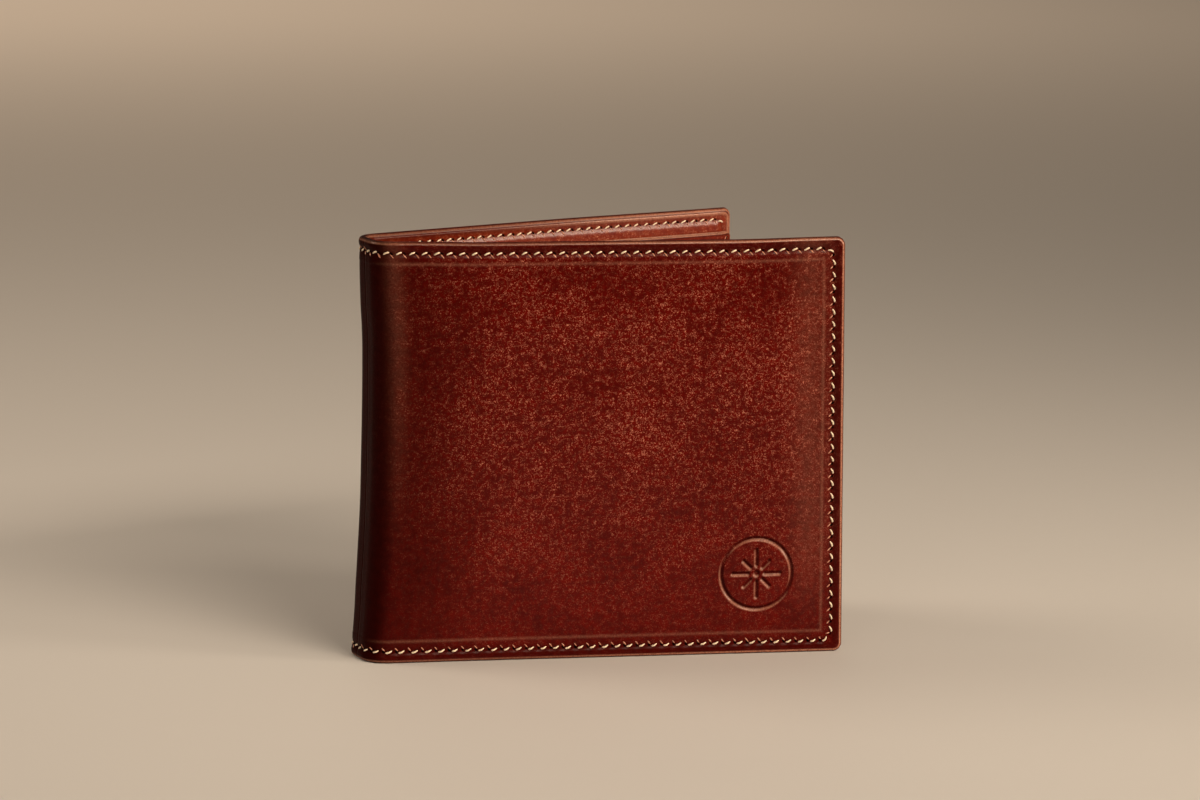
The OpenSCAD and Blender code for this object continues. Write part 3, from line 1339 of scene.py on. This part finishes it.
@dataclass(frozen=True)
class PaleFloor:
    """The studio's plain pale floor.

    Attributes:
        name: The material's name.
        colour: Its colour.
    """

    name: str = "pale_floor"
    colour: Colour = (0.66, 0.64, 0.61)

    def build(self) -> bpy.types.Material:
        """Makes the material."""
        n = Nodes(self.name)
        n.shade(Base_Color=self.colour, Roughness=0.6)
        return n.material


# ---------------------------------------------------------------------------------------------------
# The wallet's pieces
# ---------------------------------------------------------------------------------------------------


@dataclass(frozen=True)
class Finishes:
    """The wallet's materials.

    Attributes:
        cover: The cover's leather.
        lining: The lining's leather.
        pocket: The leather of the divider, the pocket panels and the card pockets.
        thread: The sewing thread.
        board: The stiffening board.
    """

    cover: bpy.types.Material
    lining: bpy.types.Material
    pocket: bpy.types.Material
    thread: bpy.types.Material
    board: bpy.types.Material

    @classmethod
    def build(cls) -> "Finishes":
        """Makes all of them."""
        cover = GlazedLeather(
            "glazed_cover_leather",
            deep=(0.052, 0.0008, 0.0003),
            warm=(0.112, 0.0022, 0.0005),
            vein_and_glint=(0.56, 0.20, 0.125),
            burnt_and_shaded=(0.011, 0.0008, 0.0004),
        )
        lining = GlazedLeather(
            "lining_leather",
            deep=(0.115, 0.0075, 0.0022),
            warm=(0.210, 0.0230, 0.0060),
            vein_and_glint=(0.56, 0.23, 0.12),
            burnt_and_shaded=(0.020, 0.0040, 0.0022),
            rough=0.36,
            coat=0.5,
        )
        pocket = GlazedLeather(
            "pocket_leather",
            deep=(0.090, 0.0055, 0.0022),
            warm=(0.165, 0.0150, 0.0050),
            vein_and_glint=(0.43, 0.14, 0.08),
            burnt_and_shaded=(0.014, 0.0028, 0.0016),
            rough=0.42,
            coat=0.2,
        )
        return cls(cover.build(), lining.build(), pocket.build(), WaxedThread().build(), FibreBoard().build())


@dataclass(frozen=True)
class PressedMark:
    """The generic mark pressed into the front cover: a ring around a rosette of rays.

    Attributes:
        from_edge: Distance of its centre from the free edge.
        height: Height of its centre.
        ring_r: Radius of the ring's line.
        line: Half width of the lines.
        soft: Half width of a line's sloping walls.
        dot_r: Radius of the dot in the middle.
        rays: Number of rays.
        near: Where the rays start.
        long: Where the long rays end.
        short: Where the short rays end.
        depth: Depth of the lines.
    """

    from_edge: float = 20.0
    height: float = 18.6
    ring_r: float = 8.1
    line: float = 0.36
    soft: float = 0.16
    dot_r: float = 0.3
    rays: int = 8
    near: float = 1.9
    long: float = 5.4
    short: float = 4.1
    depth: float = 0.34

    def _apart(self, s: Grid, z: Grid, end: float) -> Grid:
        """The distance from each place to the nearest line.

        Args:
            s: Ways along the leather.
            z: Heights.
            end: The way at the free edge.

        Returns:
            Distances.
        """
        x, y = s - (end - self.from_edge), z - self.height
        r = np.hypot(x, y)
        apart = np.minimum(np.abs(r - self.ring_r), np.maximum(r - self.dot_r, 0))
        for k in range(self.rays):
            angle = 2 * math.pi * k / self.rays
            along = x * math.cos(angle) + y * math.sin(angle)
            across = y * math.cos(angle) - x * math.sin(angle)
            tip = self.long if k % 2 == 0 else self.short
            past = np.maximum(np.maximum(self.near - along, along - tip), 0)
            apart = np.minimum(apart, np.hypot(across, past))
        return apart

    def lines(self, s: Grid, z: Grid, end: float) -> Grid:
        """How deep in a pressed line each place is, from 0 to 1.

        Args:
            s: Ways along the leather.
            z: Heights.
            end: The way at the free edge.

        Returns:
            Depths.
        """
        return ease(self._apart(s, z, end), self.line + self.soft, self.line - self.soft)

    def lit(self, s: Grid, z: Grid, end: float) -> Grid:
        """Which walls of the lines get a painted highlight, 1 on the lower ones, and which get painted shade,
        -1 on the upper ones.

        Args:
            s: Ways along the leather.
            z: Heights.
            end: The way at the free edge.

        Returns:
            Shares.
        """
        ds, dz = 0.16, 0.30
        return self.lines(s + ds, z + dz, end) - self.lines(s - ds, z - dz, end)


@dataclass(frozen=True)
class Spine:
    """How the spine's leather is drawn in between its hems.

    Attributes:
        fold: The line that the leather follows.
        depth: How far it is drawn in.
        above: Heights between which that fades towards the top.
        below: Heights between which it comes in above the foot.
        spread: Share of the bend that it reaches into.
    """

    fold: Fold
    depth: float = 0.15
    above: tuple[float, float] = (91.0, 80.0)
    below: tuple[float, float] = (3.0, 12.0)
    spread: float = 0.45

    def drawn_in(self, s: Grid, z: Grid) -> Grid:
        """How far in the spine's layers stand.

        Args:
            s: Ways along the leather.
            z: Heights.

        Returns:
            Distances inwards.
        """
        tall = ease(z, *self.above) * ease(z, *self.below)
        return self.depth * tall * hump(s, self.fold.flat + self.fold.bend_r * self.spread)


@dataclass
class Half:
    """One half of the wallet: a leaf, and the spine's leather up to its middle line.

    Attributes:
        side: Which half.
        frame: The frame's sizes.
        finishes: The materials.
        seam_inset: Distance of the seam from the cover's edge.
        hem_end: Distance of the hem's inner end from the cover's edge, where it shows through.
        corner_r: Radius of the cover's corners at the free edge.
        seam_r: Radius of the seam's corners.
        crown: How far the cover's padded middle stands out.
        roll: How far its rolled edge does.
        hem_show: Height of the ridge where the hem ends.
        waves: Height of the cover's slow unevenness.
    """

    side: Side
    frame: Frame
    finishes: Finishes
    seam_inset: float = 2.7
    hem_end: float = 5.0
    corner_r: float = 2.0
    seam_r: float = 2.2
    crown: float = 0.5
    roll: float = 0.10
    hem_show: float = 0.045
    waves: float = 0.07

    def __post_init__(self) -> None:
        """Works out what the pieces share."""
        f = self.frame.fold
        self.fold = f
        self.spine = Spine(f)
        self.mark = PressedMark()
        self.cover_outline = Outline(0.0, f.end, 0.0, f.leaf_h, self.corner_r, crosses=True)
        slant = 1 if self.side is Side.FRONT else -1
        low, high = self.seam_inset, f.leaf_h - self.seam_inset
        self.seam = Seam(0.0, f.end - self.seam_inset, low, high, self.seam_r, slant)
        self.inner_seam = Seam(0.0, f.end - self.seam_inset, low, high, self.seam_r, -slant)
        self.relief = SeamRelief(self.seam)
        self.inner_relief = SeamRelief(self.inner_seam, valley=0.14, dip=0.08)
        stack = self.frame.boxes["pocket_panel"]
        top = self.frame.boxes["card_pocket_1"].z1
        self.fold_seam = UprightSeam(f.at(stack.u0 + 1.5), low + 5.0, top - 1.0, -slant)
        self.fold_relief = SeamRelief(self.fold_seam, valley=0.1, dip=0.06)

    # -- helpers ------------------------------------------------------------------------------------

    def _name(self, piece: str) -> str:
        """A piece's name, with its side in front."""
        return f"{self.side.value}_{piece}"

    def _bend(self, obj: bpy.types.Object) -> None:
        """Bakes a piece's placement into its mesh; the bend's two points are worked out but not used."""
        start, end = self.fold.bend_points(self.side)
        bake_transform(obj)

    def _finish(self, obj: bpy.types.Object, material: bpy.types.Material, slot: str, *nodes: str) -> None:
        """Gives a piece its material and hides the frame nodes that it replaces.

        Args:
            obj: The piece.
            material: Its material.
            slot: The record's material slot; not used.
            nodes: The frame nodes that it replaces.
        """
        obj.data.materials.append(material)
        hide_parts(*nodes)

    @staticmethod
    def _cut_dark(o: Outline, s: Grid, z: Grid) -> Grid:
        """How dark a thin sheet's cut edge is burnished."""
        return 0.8 * ease(o.inside(s, z, 0.0, 1.0), 0.9, 0.2)

    @staticmethod
    def _cut_highlight(o: Outline, s: Grid, z: Grid) -> Grid:
        """A painted highlight along a thin sheet's cut edge."""
        return 0.7 * hump(o.inside(s, z, 0.0, 1.0) - 0.12, 0.15)

    # -- outer cover --------------------------------------------------------------------------------

    def cover_up(self, s: Grid, z: Grid) -> Grid:
        """How far the cover's good side stands out from its flat level.

        Args:
            s: Ways along the leather.
            z: Heights.

        Returns:
            Heights outwards.
        """
        o = self.cover_outline
        edge = o.inside(s, z, 0.0, self.corner_r)
        past_hem = edge - self.hem_end
        crown = self.crown * ease(o.inside(s, z, 4.0, 7.0), 0.0, 13.0)
        roll = self.roll * hump(edge - 1.3, 0.7)
        hem = self.hem_show * hump(past_hem, 0.25) - 0.03 * hump(past_hem - 0.5, 0.3)
        slow = self.waves * Ripple(11)(s, z) * ease(edge, 3.0, 12.0) * ease(s, 0.0, 8.0)
        up = crown + roll + hem + slow + self.relief(s, z)
        if self.side is Side.FRONT:
            up = up - self.mark.depth * self.mark.lines(s, z, self.fold.end)
        return up

    def cover_level(self, s: Grid, z: Grid) -> Grid:
        """Level of the cover's outside."""
        out = self.frame.spine_x["spine_cover"][0]
        return out - self.cover_up(s, z) + self.spine.drawn_in(s, z)

    def build_cover(self) -> None:
        """Makes the cover, with turned and rolled edges, a sewn valley and a padded middle."""
        f, o = self.fold, self.cover_outline
        hem_v = self.frame.spine_x["spine_cover"][1]
        inner_v = self.frame.boxes["board"].v0
        hem_w = self.frame.boxes["board"].z0
        mark = self.mark
        edge_r, reach = 0.85, mark.ring_r + 1.0
        pressed = self.side is Side.FRONT
        fine = 0.2 if pressed else 0.55
        s_stops = [(0.0, 0.5), (f.end - mark.from_edge - reach, fine), (f.end - mark.from_edge + reach, 0.5)]
        s_stops += [(f.end - hem_w - 0.1, 0.05), (f.end - hem_w, 0.3)]
        z_stops = [(edge_r, 0.3), (hem_w, 0.05), (hem_w + 0.1, 0.55), (mark.height - reach, fine)]
        z_stops += [(mark.height + reach, 0.55), (f.leaf_h - hem_w - 0.1, 0.05), (f.leaf_h - hem_w, 0.3)]

        def back(s: Grid, z: Grid) -> Grid:
            """Level of the cover's inside, with the turned hem standing higher."""
            on_hem = o.inside(s, z, 0.0, 0.1) < hem_w - 0.02
            return np.where(on_hem, hem_v, inner_v) + self.spine.drawn_in(s, z)

        def hollow(s: Grid, z: Grid) -> Grid:
            """Painted shade in the valley under the thread and in the pressed mark's lines, darkest on the
            mark's upper walls.
            """
            valley = 0.35 * hump(self.seam.locate(s, z)[1], 0.5)
            mark_shade = 0.3 * mark.lines(s, z, f.end) ** 2 + 0.45 * np.maximum(-mark.lit(s, z, f.end), 0)
            return np.maximum(valley, mark_shade * pressed)

        def burnish(s: Grid, z: Grid) -> Grid:
            """Painted shade over the spine and the bend, fading over the leaf beside the fold; the rim
            between the edge and the seam darkened by burnishing and by painted shade; softly darker towards
            the edges.
            """
            edge = o.inside(s, z, 0.0, self.corner_r)
            # Painted shade: the spine and the bend, then the leaf beside the fold, fading.
            bend = 0.97 * ease(s, f.leaf_start + 3.0, f.leaf_start - 4.0)
            beside = 0.6 * ease(s, f.leaf_start + 27.0, f.leaf_start)
            rim = 0.42 * ease(edge, 2.9, 1.9) * ease(edge, 0.2, 1.2) + 0.15 * ease(edge, 14.0, 3.0)
            return np.maximum(np.maximum(bend, beside), rim)

        def worn(s: Grid, z: Grid) -> Grid:
            """Painted highlights along the edge, where they also stand for wear, on the hem's ridge and on
            the mark's lower walls; a painted sheen near the free edge and a painted reflection on the bend.
            """
            edge = o.inside(s, z, 0.0, self.corner_r)
            # Painted highlight on the hem's ridge.
            ridge = 0.14 * hump(edge - self.hem_end, 0.3) * ease(s, f.flat, f.leaf_start + 2.0)
            # Painted sheen near the free edge.
            sheen_band = 0.06 * hump(s - (f.end - 8.0), 4.0) * ease(z, 3.0, 30.0)
            # Painted reflection of a light on the bend.
            bend = 0.06 * hump(s - f.leaf_start + 1.0, 2.0) * ease(z, 15.0, 88.0)
            # Painted highlight on the mark's lower walls.
            walls = 0.42 * np.maximum(mark.lit(s, z, f.end), 0) * pressed
            # Painted highlight line along the edge, brighter towards the free edge, also standing for wear.
            rim = (0.45 + 0.45 * ease(s, 25.0, 95.0)) * hump(edge - 0.45, 0.16)
            return np.maximum(rim, ridge) + sheen_band + bend + walls

        sheet = Sheet(
            self._name("cover_leather"), o, rule(s_stops, f.end - edge_r), rule(z_stops, f.leaf_h - edge_r),
            self.cover_level, back, edge_r, Facing.OUTWARDS, hollow, burnish, worn,
        )
        obj = sheet.build(f, self.side)
        self._bend(obj)
        self._finish(obj, self.finishes.cover, "cover_leather", self._name("cover"), "spine_cover")

    def build_needle_thread(self) -> None:
        """Makes the seam's thread and needle holes on the cover, which run on round the spine."""
        stitching = Stitching(self.seam, self.cover_level, Facing.OUTWARDS)
        thread = stitching.build_thread(self._name("needle_stitches"), self.fold, self.side)
        self._bend(thread)
        self._finish(thread, self.finishes.thread, "thread", self._name("needle_thread"), "spine_thread")
        holes = stitching.build_holes(self._name("needle_holes"), self.fold, self.side)
        self._bend(holes)
        self._finish(holes, self.finishes.cover, "cover_leather", self._name("cover"))

    # -- lining and divider -------------------------------------------------------------------------

    def build_lining(self) -> None:
        """Makes the lining, which runs on across the spine."""
        f = self.fold
        box = self.frame.boxes["lining"]
        o = Outline(0.0, f.at(box.u1), box.z0, box.z1, far_r=2.0, crosses=True)
        edge_r = 0.35

        def good(s: Grid, z: Grid) -> Grid:
            """Level of the lining's visible side."""
            return box.v1 + self.lining_up(s, z) + self.spine.drawn_in(s, z)

        sheet = Sheet(
            self._name("lining_leather"), o,
            rule([(0.0, 0.45), (f.at(box.u1) - 5.0, 0.3)], f.at(box.u1) - edge_r),
            rule([(box.z0 + edge_r, 0.3), (5.0, 1.2), (box.z1 - 8.0, 0.3)], box.z1 - edge_r),
            good, lambda s, z: box.v0 + self.spine.drawn_in(s, z), edge_r, Facing.INWARDS,
            # Painted shade in the seam's valley, burnished edges, and a painted highlight along the border
            # towards the free end.
            lambda s, z: 0.3 * hump(self.inner_seam.locate(s, z)[1], 0.5) * (s > f.leaf_start + 2.0),
            lambda s, z: 0.6 * ease(o.inside(s, z, 0.0, 2.0), 1.6, 0.4),
            lambda s, z: 0.6 * hump(o.inside(s, z, 0.0, 2.0) - 0.4, 0.35) * ease(s, 30.0, 90.0),
        )
        obj = sheet.build(f, self.side)
        self._bend(obj)
        self._finish(obj, self.finishes.lining, "lining_leather", self._name("lining"), "spine_lining")

    def lining_up(self, s: Grid, z: Grid) -> Grid:
        """How far the lining stands in from its flat level.

        Args:
            s: Ways along the leather.
            z: Heights.

        Returns:
            Heights inwards.
        """
        sewn = ease(s, self.fold.leaf_start, self.fold.leaf_start + 3.0)
        return self.inner_relief(s, z) * sewn + 0.03 * Ripple(5)(s, z) * ease(s, 0.0, 6.0)

    def build_divider(self) -> None:
        """Makes the note divider, which runs on across the spine and is sewn in at the foot and free edge."""
        f = self.fold
        box, lining = self.frame.boxes["note_divider"], self.frame.boxes["lining"]
        front_v = box.v1
        thick = 0.5
        rim = 3.0
        crease_at = 1.6
        o = Outline(0.0, f.at(box.u1), box.z0, box.z1, far_r=1.6, crosses=True)
        edge_r = 0.26

        def good(s: Grid, z: Grid) -> Grid:
            """Level of the divider's side towards the pockets."""
            crease = -0.07 * hump(box.z1 - z - crease_at, 0.22)
            return front_v + crease + 0.03 * Ripple(7)(s, z) + self.spine.drawn_in(s, z)

        def back(s: Grid, z: Grid) -> Grid:
            """Level of the side towards the notes, touching the lining where it is sewn in."""
            sewn = (f.at(box.u1) - s < rim) | (z - box.z0 < rim)
            return np.where(sewn, lining.v1 + 0.01, front_v - thick) + self.spine.drawn_in(s, z)

        sheet = Sheet(
            self._name("divider_leather"), o,
            rule([(0.0, 0.6), (12.0, 1.2), (f.at(box.u1) - 5.0, 0.5)], f.at(box.u1) - edge_r),
            rule([(box.z0 + edge_r, 0.5), (6.0, 1.5), (box.z1 - 6.0, 0.22)], box.z1 - edge_r),
            good, back, edge_r, Facing.INWARDS,
            # Painted shade in the creased line; the cut edge burnished and the leather darker towards the
            # spine's middle; a painted highlight along the cut edge.
            lambda s, z: 0.3 * hump(box.z1 - z - crease_at, 0.25),
            lambda s, z: self._cut_dark(o, s, z) + 0.35 * ease(s, f.leaf_start, 0.0),
            lambda s, z: self._cut_highlight(o, s, z),
        )
        obj = sheet.build(f, self.side)
        self._bend(obj)
        self._finish(obj, self.finishes.pocket, "pocket_leather", self._name("note_divider"), "fold_gusset")

    # -- pockets ------------------------------------------------------------------------------------

    def build_pocket(self, piece: str, open_top: bool) -> None:
        """Makes the pocket panel or a card pocket, which its sewn rims space off the leather behind.

        Args:
            piece: The frame node's name, without the side.
            open_top: Whether its top edge is open, as on a card pocket, or held, as on the panel.
        """
        f = self.fold
        box = self.frame.boxes[piece]
        rim = 3.0
        crease_at = 1.5
        thick = 0.55 if open_top else 0.5
        s0, s1 = f.at(box.u0), f.at(box.u1)
        o = Outline(s0, s1, box.z0, box.z1, far_r=1.2, near_r=0.8)
        edge_r = 0.27
        seed = sum(ord(c) for c in piece)

        def good(s: Grid, z: Grid) -> Grid:
            """Level of its visible side, with a creased line along the top."""
            crease = -0.08 * hump(box.z1 - z - crease_at, 0.2)
            sewn = self.inner_relief(s, z) + self.fold_relief(s, z) * open_top
            return box.v1 + 0.03 * Ripple(seed)(s, z) + crease + sewn

        def back(s: Grid, z: Grid) -> Grid:
            """Level of its back, which steps down to the leather behind along its sewn rims."""
            side = (s1 - s < rim) | (z - box.z0 < rim)
            side = side | ((s - s0 < rim) if open_top else (box.z1 - z < rim))
            return np.where(side, box.v0 + 0.01, box.v1 - thick)

        def hollow(s: Grid, z: Grid) -> Grid:
            """Painted shade in the valleys under the threads and in the creased line."""
            valley = hump(self.inner_seam.locate(s, z)[1], 0.5)
            if open_top:
                valley = np.maximum(valley, hump(self.fold_seam.locate(s, z)[1], 0.5))
            return 0.3 * np.maximum(valley, hump(box.z1 - z - crease_at, 0.25))

        sheet = Sheet(
            self._name(f"{piece}_leather"), o,
            rule([(s0 + edge_r, 0.4), (s0 + 4.0, 1.0), (s1 - 4.5, 0.4)], s1 - edge_r),
            rule([(box.z0 + edge_r, 0.45), (box.z1 - 3.0, 0.22)], box.z1 - edge_r),
            good, back, edge_r, Facing.INWARDS, hollow,
            # The cut edge burnished and the leather darker towards the foot; a painted highlight along the
            # cut edge.
            lambda s, z: self._cut_dark(o, s, z) + 0.25 * ease(z, 30.0, 0.0),
            lambda s, z: self._cut_highlight(o, s, z),
        )
        obj = sheet.build(f, self.side)
        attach(obj, self.side.body)
        self._finish(obj, self.finishes.pocket, "pocket_leather", self._name(piece))

    def inner_level(self, s: Grid, z: Grid) -> Grid:
        """Level of the innermost leather, where the seams come out.

        Args:
            s: Ways along the leather.
            z: Heights.

        Returns:
            Levels.
        """
        boxes = self.frame.boxes
        level = np.where(z > boxes["pocket_panel"].z1, boxes["lining"].v1, boxes["pocket_panel"].v1)
        for name in self.pocket_names():
            level = np.where(z <= boxes[name].z1, boxes[name].v1, level)
        return level + self.inner_relief(s, z)

    def pocket_names(self) -> list[str]:
        """The card pockets, from the top one down."""
        return sorted(n for n in self.frame.boxes if n.startswith("card_pocket_"))

    def build_inner_threads(self) -> None:
        """Makes the seam where it comes out inside, and the pockets' own seam beside the fold."""
        boxes, f = self.frame.boxes, self.fold
        names = [*self.pocket_names(), "note_divider", "pocket_panel"]
        steps = [boxes[n].z1 for n in names]
        stack_s = f.at(boxes["pocket_panel"].u0)

        def clear(s: Grid, z: Grid) -> Grid:
            """Stitches that don't cross a pocket's edge, and don't run over the fold."""
            away = np.min([np.abs(z - step) for step in steps], axis=0) > 1.5
            return away & np.where(z > f.leaf_h / 2, s > f.leaf_start + 3.0, s > stack_s + 1.5)

        for word, seam in (("bobbin", self.inner_seam), ("pocket", self.fold_seam)):
            stitching = Stitching(seam, self.inner_level, Facing.INWARDS, clear, radius=0.19)
            thread = stitching.build_thread(self._name(f"{word}_stitches"), f, self.side)
            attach(thread, self.side.body)
            self._finish(thread, self.finishes.thread, "thread", self._name(f"{word}_thread"))
            holes = stitching.build_holes(self._name(f"{word}_holes"), f, self.side)
            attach(holes, self.side.body)
            self._finish(holes, self.finishes.pocket, "pocket_leather", self._name(f"{word}_thread"))

    def dress_board(self, nodes: Mapping[str, bpy.types.Object]) -> None:
        """Gives the hidden stiffening board its material.

        Args:
            nodes: The frame's objects.
        """
        materials = nodes[self._name("board")].data.materials
        materials.clear()
        materials.append(self.finishes.board)

    def build(self, nodes: Mapping[str, bpy.types.Object]) -> None:
        """Makes every piece of this half.

        Args:
            nodes: The frame's objects.
        """
        self.build_cover()
        self.build_needle_thread()
        self.build_lining()
        self.build_divider()
        self.build_pocket("pocket_panel", open_top=False)
        for name in self.pocket_names():
            self.build_pocket(name, open_top=True)
        self.build_inner_threads()
        self.dress_board(nodes)


# ---------------------------------------------------------------------------------------------------
# Studio
# ---------------------------------------------------------------------------------------------------


@dataclass(frozen=True)
class SoftLight:
    """A soft box that looks at the wallet.

    Attributes:
        name: Its name.
        bearing: Compass angle around the wallet, in degrees from -Y towards +X.
        height: Angle above the floor, in degrees.
        distance: Distance in metres.
        width: Its width in metres.
        tall: Its height in metres.
        power: Power in watts.
        spread: Full angle of its beam, in degrees.
        colour: Light colour.
        aim: The point that it looks at, in metres.
    """

    name: str
    bearing: float
    height: float
    distance: float
    width: float
    tall: float
    power: float
    spread: float = 180.0
    colour: Colour = (1.0, 0.82, 0.64)
    aim: tuple[float, float, float] = (0.05, 0.0, 0.05)

    def build(self) -> None:
        """Makes the light."""
        light = bpy.data.lights.new(self.name, "AREA")
        light.shape = "RECTANGLE"
        light.size, light.size_y = self.width, self.tall
        light.energy, light.color = self.power, self.colour
        light.spread = math.radians(self.spread)
        bearing, height = math.radians(self.bearing), math.radians(self.height)
        flat = math.cos(height)
        way = Vector((math.sin(bearing) * flat, -math.cos(bearing) * flat, math.sin(height)))
        obj = bpy.data.objects.new(self.name, light)
        obj.location = Vector(self.aim) + way * self.distance
        obj.rotation_euler = (-way).to_track_quat("-Z", "Y").to_euler()
        bpy.context.scene.collection.objects.link(obj)


@dataclass(frozen=True)
class Studio:
    """Floor, lights and camera.

    Attributes:
        lights: The soft boxes.
        world_colour: Colour of the light from all round.
        world_strength: Its strength.
        camera_at: The camera's place, in metres.
        camera_turn: How far it turns from +Y towards +X, in degrees.
        camera_tilt: How far it looks down.
        camera_roll: How far it leans over.
        lens: Its focal length, in millimetres.
        floor_half: Half the floor's width, in metres.
    """

    lights: tuple[SoftLight, ...] = (
        SoftLight(
            "key", bearing=14.0, height=30.0, distance=0.95, width=0.72, tall=0.16, power=1.15, spread=60.0
        ),
        SoftLight(
            "side", bearing=51.0, height=12.0, distance=0.90, width=0.26, tall=0.24, power=0.6, spread=70.0
        ),
        SoftLight(
            "overhead", bearing=0.0, height=84.0, distance=1.5, width=1.4, tall=1.2, power=0.8, spread=120.0
        ),
        SoftLight(
            "fill", bearing=-38.0, height=17.0, distance=1.1, width=0.24, tall=0.40, power=0.09, spread=60.0
        ),
        SoftLight(
            "rear", bearing=232.0, height=32.0, distance=1.3, width=0.7, tall=0.5, power=1.2, spread=80.0
        ),
        SoftLight(
            "backdrop", bearing=180.0, height=80.0, distance=1.2, width=1.6, tall=0.8, power=7.0,
            spread=120.0, colour=(1.0, 0.74, 0.52), aim=(0.3, 1.9, 0.0),
        ),
    )
    world_colour: Colour = (1.0, 0.86, 0.70)
    world_strength: float = 0.12
    camera_at: tuple[float, float, float] = (-0.3495, -0.9265, 0.2201)
    camera_turn: float = 23.675
    camera_tilt: float = 9.241
    camera_roll: float = 0.667
    lens: float = 135.0
    floor_half: float = 12.0

    def build(self) -> None:
        """Makes the floor, the lights, the world's light and the camera."""
        self._floor()
        for light in self.lights:
            light.build()
        world = bpy.data.worlds.new("studio")
        world.use_nodes = True
        background = world.node_tree.nodes["Background"]
        background.inputs["Color"].default_value = (*self.world_colour, 1.0)
        background.inputs["Strength"].default_value = self.world_strength
        bpy.context.scene.world = world
        bpy.context.scene.view_settings.view_transform = "Standard"
        self._camera()

    def _floor(self) -> None:
        """Makes the floor."""
        h = self.floor_half
        mesh = bpy.data.meshes.new("floor")
        mesh.from_pydata([(-h, -h, 0), (h, -h, 0), (h, h, 0), (-h, h, 0)], [], [(0, 1, 2, 3)])
        mesh.materials.append(PaleFloor().build())
        floor = bpy.data.objects.new("floor", mesh)
        bpy.context.scene.collection.objects.link(floor)

    def _camera(self) -> None:
        """Makes the camera: low, a little to the spine's side of the front leaf, and tipped down."""
        data = bpy.data.cameras.new("camera")
        data.lens, data.sensor_width = self.lens, 36.0
        turn = Matrix.Rotation(-math.radians(self.camera_turn), 4, "Z")
        tilt = Matrix.Rotation(math.radians(90 - self.camera_tilt), 4, "X")
        roll = Matrix.Rotation(math.radians(self.camera_roll), 4, "Z")
        camera = bpy.data.objects.new("camera", data)
        camera.matrix_world = Matrix.Translation(self.camera_at) @ turn @ tilt @ roll
        bpy.context.scene.collection.objects.link(camera)
        bpy.context.scene.camera = camera


def main() -> None:
    """Builds the wallet's looks, piece by piece, and the studio around it."""
    logging.basicConfig(level=logging.INFO, format="%(message)s")
    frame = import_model()
    sizes = Frame.read(frame)
    Studio().build()
    finishes = Finishes.build()
    for side in Side:
        Half(side, sizes, finishes).build(frame["nodes"])
        LOG.info("%s half built", side.value)


if __name__ == "__main__":
    main()
